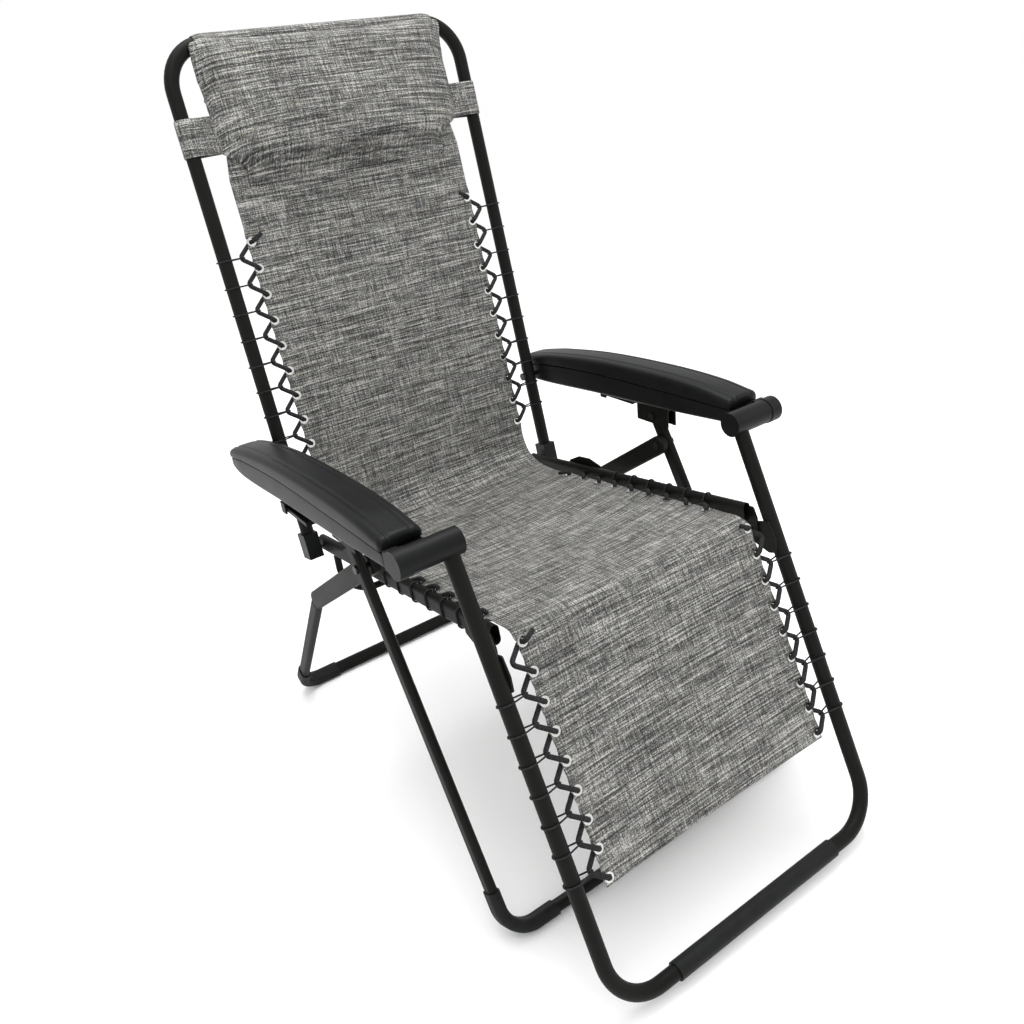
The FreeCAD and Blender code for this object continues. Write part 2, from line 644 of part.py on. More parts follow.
def lock_lever(side):
    """A recline lock lever under an armrest, and the clip it turns in."""
    hand = SIDE_NAME[side]
    y, z = LEVER_AT
    inner = 302.0 if side > 0 else -322.0
    paddle = doc.addObject("Part::Box", f"paddle_{hand}")
    paddle.Length, paddle.Width, paddle.Height = 20.0, 76.0, 6.0
    paddle.Placement = FreeCAD.Placement(V(inner, y - 76, z - 3), FreeCAD.Rotation())
    hub = cylinder(f"lever_hub_{hand}", y, z, inner, inner + 20.0, 10.0)
    pin = cylinder(f"lever_pin_{hand}", y, z, inner - 3.5, inner + 23.5, 5.0)
    sub_part(fuse([paddle, hub, pin], f"lock_lever_{hand}"), f"lock_lever_{hand}")
    lugs = doc.addObject("Part::Box", f"clip_block_{hand}")
    lugs.Length, lugs.Width, lugs.Height = 27.0, 14.0, 17.5
    lugs.Placement = FreeCAD.Placement(V(inner - 3.5, y - 7, z - 6), FreeCAD.Rotation())
    space = doc.addObject("Part::Box", f"clip_gap_{hand}")
    space.Length, space.Width, space.Height = 20.6, 20.0, 14.5
    space.Placement = FreeCAD.Placement(V(inner - 0.3, y - 10, z - 7), FreeCAD.Rotation())
    opened = cut(lugs, space, f"clip_{hand}")
    hole = cylinder(f"clip_bore_{hand}", y, z, inner - 5, inner + 25, 5.12)
    sub_part(cut(opened, hole, f"lever_clip_{hand}"), f"lever_clip_{hand}")


for side in (-1, 1):
    hand = SIDE_NAME[side]
    armrest_piece(f"armrest_pad_{hand}", side, PAD_TOP + GROOVE, 11.0, 0)
    armrest_piece(f"armrest_shell_{hand}", side, GROOVE[::-1] + SHELL_LOW[::-1], 0, 6.0, [ARM_REAR])
    nose_cheek(side)
    front_bracket(side)
    lock_lever(side)


# ---------------------------------------------------------------- sling and lacing

BACK_ROWS = [-92.0 - size("cord_pitch") * n for n in range(11)]
SEAT_PITCH = 43.0
SEAT_ROWS = [-132.0 - SEAT_PITCH * n for n in range(9)]
REST_PITCH = 40.6   # spacing of the leg rest eyelets
REST_ROWS = [-148.6 - REST_PITCH * n for n in range(9)]
HEM_REACH = 183.0


def plane_axis(body, role):
    """One of a body's own origin axes."""
    return next(f for f in body.Origin.OriginFeatures if f.Role == role)


def sling(name, placement, y0, y1, rows, hem=False):
    """A flat panel of sling fabric with its lacing holes. The back panel has a sleeve for the bar."""
    body = new_body(name)
    s = new_sketch(body, name + "_outline")
    half = size("sling_half")
    g = [
        s.addGeometry(Part.LineSegment(V(-half, y0, 0), V(half, y0, 0))),
        s.addGeometry(Part.LineSegment(V(half, y0, 0), V(half, y1, 0))),
        s.addGeometry(Part.LineSegment(V(half, y1, 0), V(-half, y1, 0))),
        s.addGeometry(Part.LineSegment(V(-half, y1, 0), V(-half, y0, 0))),
    ]
    for i in range(4):
        s.addConstraint(Sketcher.Constraint("Coincident", g[i], 2, g[(i + 1) % 4], 1))
    for i in (0, 2):
        s.addConstraint(Sketcher.Constraint("Horizontal", g[i]))
        s.addConstraint(Sketcher.Constraint("Vertical", g[i + 1]))
    bind(s, "DistanceX", -1, 1, g[0], 2, half, "Dims.sling_half")
    bind(s, "DistanceX", g[0], 1, -1, 1, half, "Dims.sling_half")
    s.addConstraint(Sketcher.Constraint("DistanceY", -1, 1, g[0], 1, y0))
    s.addConstraint(Sketcher.Constraint("DistanceY", -1, 1, g[2], 1, y1))
    pad(body, s, size("sling_thick"), "Dims.sling_thick", True)
    if hem:
        neck = new_sketch(body, name + "_neck")
        end = -(size("back_length") - 12.4)
        outline(neck, [(-HEM_REACH, y1 + 5), (-HEM_REACH, end), (HEM_REACH, end), (HEM_REACH, y1 + 5)])
        pad(body, neck, size("sling_thick"), "Dims.sling_thick", True)
        ring = new_sketch(body, name + "_hem", "YZ_Plane")
        for dia, expression in (
            (size("tube_dia") + 0.6 + 2 * size("sling_thick"), "Dims.tube_dia + 0.6 + 2 * Dims.sling_thick"),
            (size("tube_dia") + 0.6, "Dims.tube_dia + 0.6"),
        ):
            circle(ring, -size("back_length"), dia, "-Dims.back_length", expression)
        sleeve = pad(body, ring, 2 * HEM_REACH, None, True)
        sleeve.Label = name + "_sleeve"
    doc.recompute()
    holes = new_sketch(body, name + "_holes")
    for side in (-1, 1):
        g0 = holes.addGeometry(
            Part.Circle(
                V(side * size("grommet_half"), rows[0], 0), V(0, 0, 1), size("grommet_bore") / 2 + 1.5
            )
        )
        bind(holes, "DistanceX", -1, 1, g0, 3, side * size("grommet_half"), f"{side} * Dims.grommet_half")
        holes.addConstraint(Sketcher.Constraint("DistanceY", -1, 1, g0, 3, rows[0]))
        bind(holes, "Diameter", g0, size("grommet_bore") + 3.0, "Dims.grommet_bore + 3")
    first = body.newObject("PartDesign::Pocket", name + "_first_holes")
    first.Profile = holes
    first.Type = "ThroughAll"
    first.Midplane = True
    body.Tip = first
    doc.recompute()
    rows_pattern = body.newObject("PartDesign::LinearPattern", name + "_rows")
    rows_pattern.Originals = [first]
    rows_pattern.Direction = (plane_axis(body, "Y_Axis"), [""])
    rows_pattern.Reversed = True
    rows_pattern.Length = rows[0] - rows[-1]
    rows_pattern.Occurrences = len(rows)
    body.Tip = rows_pattern
    doc.recompute()
    body.Placement = placement
    return sub_part(body, name)


sling("sling_back", BACK_AT, -70.0, -(size("back_length") - 25.0), BACK_ROWS, True)
sling("sling_seat", RAIL_AT, -70.0, -495.0, SEAT_ROWS)
sling("sling_leg_rest", REST_AT, -138.0, -499.0, REST_ROWS)


def eyelet(x, y):
    """A pressed metal eyelet: a ring with a waist where the fabric is gripped."""
    bore, rim, half = size("grommet_bore") / 2, size("grommet_outer") / 2, size("grommet_thick") / 2
    lip, waist = size("sling_thick") / 2 + 0.02, bore + 1.45
    points = [(bore, -half), (rim, -half), (rim, -lip), (waist, -lip), (waist, lip), (rim, lip),
              (rim, half), (bore, half)]
    wire = Part.makePolygon([V(r, 0, z) for r, z in points + points[:1]])
    ring = Part.Face(wire).revolve(V(0, 0, 0), V(0, 0, 1), 360)
    ring.translate(V(x, y, 0))
    return ring


def eyelets(name, placement, rows):
    rings = [eyelet(side * size("grommet_half"), y) for side in (-1, 1) for y in rows]
    feature(Part.makeCompound(rings), name, placement)


eyelets("back_eyelets", BACK_AT, BACK_ROWS)
eyelets("seat_eyelets", RAIL_AT, SEAT_ROWS)
eyelets("leg_rest_eyelets", REST_AT, REST_ROWS)


def bent_wire(points, radii):
    """Straight runs through the points, joined by tangent arcs of the given radii."""
    edges, start = [], points[0]
    for i in range(1, len(points) - 1):
        before, after = (points[i] - points[i - 1]).normalize(), (points[i + 1] - points[i]).normalize()
        half_turn = before.getAngle(after) / 2
        back_off = radii[i] * math.tan(half_turn)
        a, b = points[i] - before * back_off, points[i] + after * back_off
        inward = (after - before).normalize()
        middle = points[i] + inward * (radii[i] / math.cos(half_turn) - radii[i])
        edges.append(Part.LineSegment(start, a).toShape())
        edges.append(Part.Arc(a, middle, b).toShape())
        start = b
    edges.append(Part.LineSegment(start, points[-1]).toShape())
    return Part.Wire(edges)


def rope(wire, dia):
    """A solid round cord along a wire."""
    start = wire.Edges[0].valueAt(wire.Edges[0].FirstParameter)
    along = wire.Edges[0].tangentAt(wire.Edges[0].FirstParameter)
    section = Part.Wire(Part.Circle(start, along, dia / 2).toShape())
    solid = wire.makePipeShell([section], True, True)
    expected = math.pi * dia * dia / 4 * wire.Length
    if abs(solid.Volume - expected) > 0.03 * expected:
        raise RuntimeError("a cord has the wrong volume")
    return solid


CROSS = 7.6     # how far the cord stands off the fabric where it passes through an eyelet


def lacing_wire(side, rows, pitch, apex):
    """The zigzag of one elastic cord: down through each eyelet, then out to an apex by the tube."""
    hole = side * size("grommet_half")
    points, radii = [V(side * (size("grommet_half") - 16), rows[0] + 9, CROSS)], [0.0]
    for i, y in enumerate(rows):
        points += [V(hole, y, CROSS), V(hole, y, -CROSS)]
        radii += [5.2, 5.2]
        if i < len(rows) - 1:
            points.append(V(side * apex, y - pitch / 2, 0))
            radii.append(6.0)
    points.append(V(side * (size("grommet_half") - 16), rows[-1] - 9, -CROSS))
    radii.append(0.0)
    return bent_wire(points, radii)


def lacing(name, placement, rows, pitch, apex):
    cords = [rope(lacing_wire(side, rows, pitch, apex), size("cord_dia")) for side in (-1, 1)]
    feature(Part.makeCompound(cords), name, placement)


SEAT_APEX = size("rail_half") - 9.1       # the seat rails stand closer to the fabric than the tubes do
lacing("back_lacing", BACK_AT, BACK_ROWS, size("cord_pitch"), size("apex_half"))
lacing("seat_lacing", RAIL_AT, SEAT_ROWS, SEAT_PITCH, SEAT_APEX)
lacing("leg_rest_lacing", REST_AT, REST_ROWS, REST_PITCH, size("apex_half"))


def belt(circles, z):
    """A closed wire stretched round circles (x, y, r), listed anticlockwise, at height z."""
    n, spans = len(circles), []
    for i in range(n):
        (x0, y0, r0), (x1, y1, r1) = circles[i], circles[(i + 1) % n]
        gap = math.hypot(x1 - x0, y1 - y0)
        angle = math.atan2(y1 - y0, x1 - x0) - math.pi / 2 + math.asin((r0 - r1) / gap)
        out = V(math.cos(angle), math.sin(angle), 0)
        spans.append((V(x0, y0, z) + out * r0, V(x1, y1, z) + out * r1, angle))
    edges = []
    for i in range(n):
        edges.append(Part.LineSegment(spans[i][0], spans[i][1]).toShape())
        x, y, r = circles[(i + 1) % n]
        a0, a1 = spans[i][2], spans[(i + 1) % n][2]
        if a1 < a0:
            a1 += 2 * math.pi
        middle = V(x + r * math.cos((a0 + a1) / 2), y + r * math.sin((a0 + a1) / 2), z)
        edges.append(Part.Arc(spans[i][1], middle, spans[(i + 1) % n][0]).toShape())
    return Part.Wire(edges)


UPRIGHT = FreeCAD.Rotation(V(1, 0, 0), 90)      # lays a belt's plane across the tubes


def tie_loops(name, placement, rows, pitch, tube_circles, apex_x, skip=()):
    """Thin cord loops that tie each apex of the lacing to the tube beside it."""
    loops, grip = [], size("cord_dia") / 2 + size("loop_dia") / 2 + 0.3
    for side in (-1, 1):
        rings = [(side * x, y, r) for x, y, r in tube_circles] + [(side * apex_x, 0.0, grip)]
        if side < 0:
            rings.reverse()
        for i, y in enumerate(rows[:-1]):
            if i in skip:
                continue
            loop = rope(belt(rings, 0.0), size("loop_dia"))
            loop.Placement = FreeCAD.Placement(V(0, y - pitch / 2, 0), UPRIGHT)
            loops.append(loop)
    feature(Part.makeCompound(loops), name, placement)


TUBE_GRIP = size("tube_dia") / 2 + size("loop_dia") / 2 + 0.15
RAIL_GRIP = size("rail_thick") / 2 + size("loop_dia") / 2 + 0.15
RAIL_SPAN = (size("rail_tall") - size("rail_thick")) / 2
ROUND_TUBE = [(size("frame_half"), 0.0, TUBE_GRIP)]
OVAL_RAIL = [(size("rail_half"), -RAIL_SPAN, RAIL_GRIP), (size("rail_half"), RAIL_SPAN, RAIL_GRIP)]
APEX_CENTRE = size("apex_half") - 3.5
tie_loops("back_tie_loops", BACK_AT, BACK_ROWS, size("cord_pitch"), ROUND_TUBE, APEX_CENTRE)
tie_loops("seat_tie_loops", RAIL_AT, SEAT_ROWS, SEAT_PITCH, OVAL_RAIL, SEAT_APEX - 1.3, (0, 1))
tie_loops("leg_rest_tie_loops", REST_AT, REST_ROWS, REST_PITCH, ROUND_TUBE, APEX_CENTRE, (0,))


# ---------------------------------------------------------------- head pillow

PILLOW_LOW, PILLOW_BACK, STRAP_LOW = 630.0, 4.0, 638.0
pillow = new_body("head_pillow")
s = new_sketch(pillow, "pillow_outline", "XY_Plane", -PILLOW_BACK)
half, top = size("pillow_wide") / 2, PILLOW_LOW + size("pillow_tall")
outline(s, [(-half, -top), (half, -top), (half, -PILLOW_LOW), (-half, -PILLOW_LOW)])
cushion = pad(pillow, s, size("pillow_deep"), "Dims.pillow_deep")
cushion.Reversed = True
rounded(pillow, cushion, 17.0, lambda e: True)
pillow.Placement = BACK_AT
sub_part(pillow, "head_pillow")


def pillow_strap(side):
    """A fabric band from one end of the pillow round the back tube."""
    def band(grow):
        rings = [(side * size("frame_half"), 0.0, size("tube_dia") / 2 + 0.5 + grow),
                 (side * (size("pillow_wide") / 2 + 6.5), 14.0, 3.0 + grow)]
        if side < 0:
            rings.reverse()
        return Part.Face(belt(rings, 0.0)).extrude(V(0, 0, size("strap_wide")))
    strap = band(1.6).cut(band(0.0))
    strap.Placement = FreeCAD.Placement(V(0, -STRAP_LOW, 0), UPRIGHT)
    return strap


feature(Part.makeCompound(both_sides(pillow_strap)), "pillow_straps", BACK_AT)


# ---------------------------------------------------------------- pivot bolts

def bolt(side, y, z, x0, x1, heads):
    """A domed pivot bolt across the chair: a shank from x0 to x1 and heads (x, thickness, dia)."""
    def disc(a, b, dia):
        a, b = sorted((side * a, side * b))
        return Part.makeCylinder(dia / 2, b - a, V(a, y, z), V(1, 0, 0))
    solid = disc(x0, x1, size("bolt_dia"))
    for x, thick, dia in heads:
        solid = solid.fuse(disc(x, x + thick, dia))
    return solid.removeSplitter()


def bolts(name, place, x0, x1, heads):
    feature(Part.makeCompound([bolt(side, *place, x0, x1, heads) for side in (-1, 1)]), name)


bolts("back_pivot_bolts", ARM_REAR, 239.0, 300.0, [(237.4, 4.2, 14.0)])
bolts("seat_pivot_bolts", HINGE, 218.0, 266.2, [(217.0, 3.2, 13.0)])
bolts("knee_pivot_bolts", KNEE_PIVOT, 233.0, 244.0, [(231.0, 3.5, 14.0), (241.8, 3.4, 14.0)])
bolts("front_leg_bolts", FRONT_PIVOT, 280.0, 303.0, [(279.0, 2.3, 12.0), (300.8, 3.0, 14.0)])
bolts("scissor_bolts", SCISSOR, 265.0, 301.0, [(264.6, 2.2, 13.0), (298.4, 3.0, 13.0)])


# ---------------------------------------------------------------- checks and files

doc.recompute()
for obj in SUB_PARTS:
    place = obj.Placement
    obj.Placement = FreeCAD.Placement(place.Base + V(0, size("centre_shift"), 0), place.Rotation)
doc.recompute()
for obj in doc.Objects:
    if "Invalid" in obj.State or "Error" in obj.State:
        raise RuntimeError(f"{obj.Name} did not recompute: {obj.State}")
for obj in SUB_PARTS:
    if obj.Shape.isNull() or not obj.Shape.isValid() or not obj.Shape.Solids:
        raise RuntimeError(f"{obj.Label} has no valid solid")

os.makedirs("parts", exist_ok=True)
for obj in SUB_PARTS:
    obj.Shape.exportStep(f"parts/{obj.Label}.step")
print(len(SUB_PARTS), "pieces written")
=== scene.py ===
"""Zero gravity recliner: fabric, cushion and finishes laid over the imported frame."""

import json
import math

import bmesh
import bpy
from mathutils import Matrix, Vector


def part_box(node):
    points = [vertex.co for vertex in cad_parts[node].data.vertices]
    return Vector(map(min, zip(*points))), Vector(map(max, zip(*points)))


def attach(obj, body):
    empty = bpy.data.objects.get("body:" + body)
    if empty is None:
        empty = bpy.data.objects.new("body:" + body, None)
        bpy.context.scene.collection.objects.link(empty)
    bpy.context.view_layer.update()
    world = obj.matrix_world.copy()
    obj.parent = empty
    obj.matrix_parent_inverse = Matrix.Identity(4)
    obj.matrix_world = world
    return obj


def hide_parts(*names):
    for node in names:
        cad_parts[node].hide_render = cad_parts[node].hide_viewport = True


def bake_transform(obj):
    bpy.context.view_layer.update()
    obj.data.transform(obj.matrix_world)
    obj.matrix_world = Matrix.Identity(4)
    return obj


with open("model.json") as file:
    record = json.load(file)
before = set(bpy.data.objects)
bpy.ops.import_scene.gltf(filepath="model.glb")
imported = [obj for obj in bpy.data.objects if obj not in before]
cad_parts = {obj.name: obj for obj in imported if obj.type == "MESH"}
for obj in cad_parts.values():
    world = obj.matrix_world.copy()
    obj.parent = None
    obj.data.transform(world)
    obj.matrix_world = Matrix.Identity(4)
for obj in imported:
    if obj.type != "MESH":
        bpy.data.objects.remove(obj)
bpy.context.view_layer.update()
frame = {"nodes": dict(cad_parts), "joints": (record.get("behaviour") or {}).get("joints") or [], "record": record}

bl_info = {
    "name": "Zero gravity recliner",
    "version": (1, 0, 0),
    "blender": (4, 5, 0),
    "location": "3D View > Sidebar > Recliner",
    "description": "Builds a folding recliner's laced sling, head pillow, armrests and finishes",
    "category": "Add Mesh",
}

# ------------------------------------------------------------ where the parts are, in side view

JOINT = {j["name"]: j for j in frame["joints"]}
REAR_PIVOT = Vector(JOINT["back_recline"]["pos_m"])
HIP_PIVOT = Vector(JOINT["seat_recline"]["pos_m"])
BACK_LEAN = 11.56      # degrees from upright
REST_LEAN = 25.2       # degrees from upright
SEAT_PITCH = 8.0       # degrees that the rails rise to the front


class Plane:
    """A frame's plane in side view: its start, the way along its tubes and the way off its face."""

    def __init__(self, start, along, face):
        self.start, self.along, self.face = Vector(start), Vector(along), Vector(face)

    def at(self, run, off=0.0, x=0.0):
        """The point that is run metres along the tubes and off metres in front of their plane."""
        point = self.start + self.along * run + self.face * off
        return Vector((x, point.y, point.z))


def plane(start, degrees, down=1.0):
    """A plane whose tubes run at so many degrees from upright, upwards or downwards."""
    lean = math.radians(degrees)
    along = Vector((0, math.sin(lean), math.cos(lean))) * down
    face = Vector((0, -math.cos(lean), math.sin(lean)))
    return Plane(start, along, face)


BACK = plane((0, HIP_PIVOT.y + 0.004, HIP_PIVOT.z - 0.004), BACK_LEAN)
REST = plane((0, REAR_PIVOT.y - 0.527, REAR_PIVOT.z + 0.038), REST_LEAN, -1.0)
RISE = math.radians(SEAT_PITCH)
SEAT = Plane(HIP_PIVOT, (0, -math.cos(RISE), math.sin(RISE)), (0, math.sin(RISE), math.cos(RISE)))
TOP_BAR = 0.796        # run of the back frame's top bar
TUBE_RADIUS = 0.011
BAR_BEND = 0.065       # radius of the back frame's two corners
TUBE_X = 0.253         # middle of the round side tubes
EYELET_X = 0.203       # middle of the rows of eyelets
# Runs of the eyelets on each plane.
BACK_EYELETS = [0.092 + 0.0415 * i for i in range(11)]
SEAT_EYELETS = [0.132 + 0.043 * i for i in range(9)]
REST_EYELETS = [0.1486 + 0.0406 * i for i in range(9)]
HIP_RUNS = (0.066, 0.098)      # where the fabric leaves the back's plane and meets the seat's
KNEE_RUNS = (0.5235, 0.160)    # the same from the seat to the leg rest
REST_END = 0.484       # run of the fabric's lower edge on the leg rest
SLEEVE_LOW = 0.745     # run of the top sleeve's hem, where the back panel starts
SHOULDER = 0.775       # run at which the fabric starts to part round the top bar
SCALLOP = 0.0022       # how far the fabric's edge is drawn in between two eyelets
SCALLOP_FROM = 0.86    # share of the half width beyond which it is drawn in
HALF_SPACING = 0.021   # about half the distance between two eyelets
EDGE_STEP = 0.0022     # mesh spacing across the laced edges
CORNER_PULL = 0.72     # how closely the fabric follows the corner at the hip and the knee


# ------------------------------------------------------------ small tools

def linear(code):
    """An sRGB hex colour as the linear colour that a shader takes."""
    parts = [int(code[i:i + 2], 16) / 255 for i in (1, 3, 5)]
    return (*[c / 12.92 if c <= 0.04045 else ((c + 0.055) / 1.055) ** 2.4 for c in parts], 1.0)


def colour(name, description, default):
    return bpy.props.StringProperty(name=name, description=description, default=default)


def length(name, description, default):
    return bpy.props.FloatProperty(
        name=name, description=description, default=default, min=0.0,
        unit="LENGTH", subtype="DISTANCE",
    )


def power(name, description, default):
    return bpy.props.FloatProperty(
        name=name, description=description, default=default, min=0.0, unit="POWER"
    )


def node(tree, kind, links=None, out=0, feeds=None, stops=(), **settings):
    """Adds a shader node with its settings and returns its output called out.

    links: its sockets, each with the output that feeds it or a plain value.
    feeds: a socket that the output is linked to.
    stops: the positions and hex colours of a colour ramp.
    """
    made = tree.nodes.new(kind)
    for key, value in settings.items():
        setattr(made, key, value)
    for socket, source in (links or {}).items():
        if isinstance(source, bpy.types.NodeSocket):
            tree.links.new(source, made.inputs[socket])
        else:
            made.inputs[socket].default_value = source
    if stops:
        band = made.color_ramp.elements
        while len(band) < len(stops):
            band.new(0.5)
        for element, (position, code) in zip(band, stops):
            element.position, element.color = position, linear(code)
    if feeds:
        tree.links.new(made.outputs[out], feeds)
    return made.outputs[out]


def material(name, base, roughness, **sockets):
    """A new principled material with plain values on its shader's own sockets."""
    made = bpy.data.materials.new(name)
    made.use_nodes = True
    shader = made.node_tree.nodes["Principled BSDF"]
    shader.inputs["Base Color"].default_value = linear(base)
    shader.inputs["Roughness"].default_value = roughness
    for key, value in sockets.items():
        shader.inputs[key.replace("_", " ")].default_value = value
    made.diffuse_color = linear(base)
    return made, made.node_tree, shader


def spots(size):
    """The noise scale at which one spot is about size metres across."""
    return 0.5 / size


def ease(share):
    """A smooth step from 0 to 1."""
    share = min(1.0, max(0.0, share))
    return share * share * (3 - 2 * share)


def mesh_object(name, verts, faces, uvs=None):
    """A linked, smooth shaded object; uvs gives each vertex its place on the flat cloth."""
    mesh = bpy.data.meshes.new(name)
    mesh.from_pydata([tuple(v) for v in verts], [], faces)
    mesh.validate()
    if uvs:
        layer = mesh.uv_layers.new(name="cloth")
        for loop in mesh.loops:
            layer.data[loop.index].uv = uvs[loop.vertex_index]
    mesh.shade_smooth()
    made = bpy.data.objects.new(name, mesh)
    bpy.context.scene.collection.objects.link(made)
    return made


def dress(piece, finish):
    """Gives a piece one finish in all its slots."""
    if not piece.material_slots:
        piece.data.materials.append(finish)
    for material_slot in piece.material_slots:
        material_slot.material = finish


def choose(piece):
    """Makes a piece the only selected one, which mesh operators need."""
    bpy.ops.object.select_all(action="DESELECT")
    piece.select_set(True)
    bpy.context.view_layer.objects.active = piece


def settle(piece, *modifiers):
    """Applies modifiers given as (kind, settings) in order."""
    choose(piece)
    for kind, settings in modifiers:
        made = piece.modifiers.new(kind.lower(), kind)
        for key, value in settings.items():
            setattr(made, key, value)
        bpy.ops.object.modifier_apply(modifier=made.name)


# ------------------------------------------------------------ finishes

def textilene(props):
    """Textilene: PVC coated polyester yarn, plain woven in two greys. Uneven yarns give long light
    and dark streaks across the chair, short ones along it, and a dull sheen off the coating."""
    made, tree, shader = material("textilene_sling", props.cloth_mid, 0.62, Specular_IOR_Level=0.35)
    where = node(tree, "ShaderNodeUVMap", uv_map="cloth")

    def yarn(across, along, detail, seed):
        """Noise drawn out along a yarn: one spot is across by along metres on the flat cloth."""
        drawn = node(tree, "ShaderNodeMapping", {
            "Vector": where, "Location": (seed, seed * 1.7, seed),
            "Scale": (spots(across), spots(along), 1),
        })
        return node(tree, "ShaderNodeTexNoise", {
            "Vector": drawn, "Scale": 1.0, "Detail": detail, "Roughness": 0.6,
        })

    slubs = yarn(0.055, 0.0012, 2.0, 3.1)        # long uneven weft yarns
    wefts = yarn(0.018, 0.0010, 2.0, 7.7)        # shorter ones between them
    warps = yarn(0.0010, 0.014, 2.0, 12.3)       # yarns up and down the chair
    specks = yarn(0.0010, 0.0010, 1.0, 21.9)     # crossings, drawn at about twice their real size
    patches = yarn(0.035, 0.011, 2.0, 41.0)      # faint warm patches where the yarn's dye varies
    across = node(tree, "ShaderNodeMix", {0: 0.42, 2: slubs, 3: wefts}, data_type="FLOAT")
    along = node(tree, "ShaderNodeMix", {0: 0.58, 2: warps, 3: specks}, data_type="FLOAT")
    weave = node(tree, "ShaderNodeMix", {0: 0.48, 2: across, 3: along}, data_type="FLOAT")
    spread = node(tree, "ShaderNodeMapRange", {"Value": weave, "From Min": 0.42, "From Max": 0.585})
    greys = node(tree, "ShaderNodeValToRGB", {"Fac": spread}, stops=[
        (0.0, props.cloth_dark), (0.28, "#424240"), (0.52, props.cloth_mid),
        (0.78, "#898884"), (1.0, props.cloth_light),
    ])
    warm = node(tree, "ShaderNodeMapRange", {
        "Value": patches, "From Min": 0.58, "From Max": 0.72, "To Min": 0.0, "To Max": 0.4,
    })
    node(
        tree, "ShaderNodeMix", {0: warm, 6: greys, 7: linear("#f3ead2")}, out=2,
        feeds=shader.inputs["Base Color"], data_type="RGBA", blend_type="MULTIPLY",
    )
    node(
        tree, "ShaderNodeBump", {"Height": weave, "Strength": 0.5, "Distance": 0.0006},
        feeds=shader.inputs["Normal"],
    )
    return made


def surface(name, base, roughness, shades=(), gloss=(), relief=(), **sockets):
    """A finish whose colour and roughness drift over the piece and which has a fine relief.

    shades: size of its spots, detail, stretch, and the two stops of its colours.
    gloss: the lowest and highest roughness, which follow the same spots.
    relief: size of its grain, detail, stretch, strength and depth.
    """
    made, tree, shader = material(name, base, roughness, **sockets)
    where = node(tree, "ShaderNodeTexCoord", out="Object")

    def grain(size, detail, stretch):
        drawn = node(tree, "ShaderNodeMapping", {"Vector": where, "Scale": stretch})
        return node(tree, "ShaderNodeTexNoise", {
            "Vector": drawn, "Scale": spots(size), "Detail": detail,
        })

    if shades:
        size, detail, stretch, *stops = shades
        drift = grain(size, detail, stretch)
    if shades and stops:
        node(
            tree, "ShaderNodeValToRGB", {"Fac": drift},
            feeds=shader.inputs["Base Color"], stops=stops,
        )
    if gloss:
        node(
            tree, "ShaderNodeMapRange", {"Value": drift, "To Min": gloss[0], "To Max": gloss[1]},
            feeds=shader.inputs["Roughness"],
        )
    if relief:
        size, detail, stretch, strength, depth = relief
        height = grain(size, detail, stretch)
        node(
            tree, "ShaderNodeBump", {"Height": height, "Strength": strength, "Distance": depth},
            feeds=shader.inputs["Normal"],
        )
    return made


EVEN = (1, 1, 1)


def powder_coat(props):
    """Powder coated steel: baked polyester powder, near black. It gives a soft highlight along each
    tube, with the faint ripple of the coat."""
    return surface(
        "powder_coated_steel", props.frame_colour, 0.5,
        shades=(0.05, 3.0, EVEN, (0.3, props.frame_colour), (0.7, "#141412")),
        gloss=(0.42, 0.56), relief=(0.0012, 2.0, EVEN, 0.12, 0.0004), Specular_IOR_Level=0.11,
    )


def moulding(props):
    """Moulded polypropylene with a spark eroded grain: satin black, greyer where it's rubbed."""
    return surface(
        "moulded_polypropylene", props.moulding_colour, 0.4,
        shades=(0.03, 4.0, EVEN, (0.35, props.moulding_colour), (0.75, "#131414")),
        gloss=(0.36, 0.5), relief=(0.0007, 3.0, EVEN, 0.25, 0.0003), Specular_IOR_Level=0.15,
    )


def soft_vinyl(_props):
    """Moulded PVC of the foot caps and foot bar sleeve: matt black, scuffed across the bar."""
    return surface(
        "moulded_soft_pvc", "#0e0f0f", 0.6,
        shades=(0.004, 5.0, (0.3, 1, 1), (0.4, "#0e0f0f"), (0.75, "#171818")),
        relief=(0.0009, 3.0, EVEN, 0.3, 0.0004), Specular_IOR_Level=0.2,
    )


def nickel(_props):
    """Nickel plated brass eyelets, stamped: bright, less glossy where the tool pressed."""
    return surface(
        "nickel_plated_brass", "#d6d5d1", 0.2,
        shades=(0.0009, 3.0, EVEN), gloss=(0.14, 0.34), Metallic=1.0,
    )


def shock_cord(_props):
    """Braided polyester sheath over rubber: black, dull, with the braid's uneven strands."""
    return surface(
        "braided_polyester_cord", "#131314", 0.75,
        shades=(0.0009, 1.0, (1, 0.6, 1), (0.35, "#0c0c0d"), (0.7, "#242526")),
        relief=(0.0009, 1.0, (1, 0.6, 1), 0.6, 0.0006), Specular_IOR_Level=0.3,
    )


def black_zinc(_props):
    """Black zinc plated bolts: dark metal with a slight bloom."""
    return surface(
        "black_zinc_plated_steel", "#3a3b3d", 0.4,
        shades=(0.002, 4.0, EVEN), gloss=(0.3, 0.55), Metallic=1.0,
    )


MAKERS = {
    "sling_fabric": textilene,
    "frame_paint": powder_coat,
    "black_moulding": moulding,
    "foot_rubber": soft_vinyl,
    "eyelet_metal": nickel,
    "elastic_cord": shock_cord,
    "bolt_metal": black_zinc,
}
FINISH = {}


# ------------------------------------------------------------ the sling

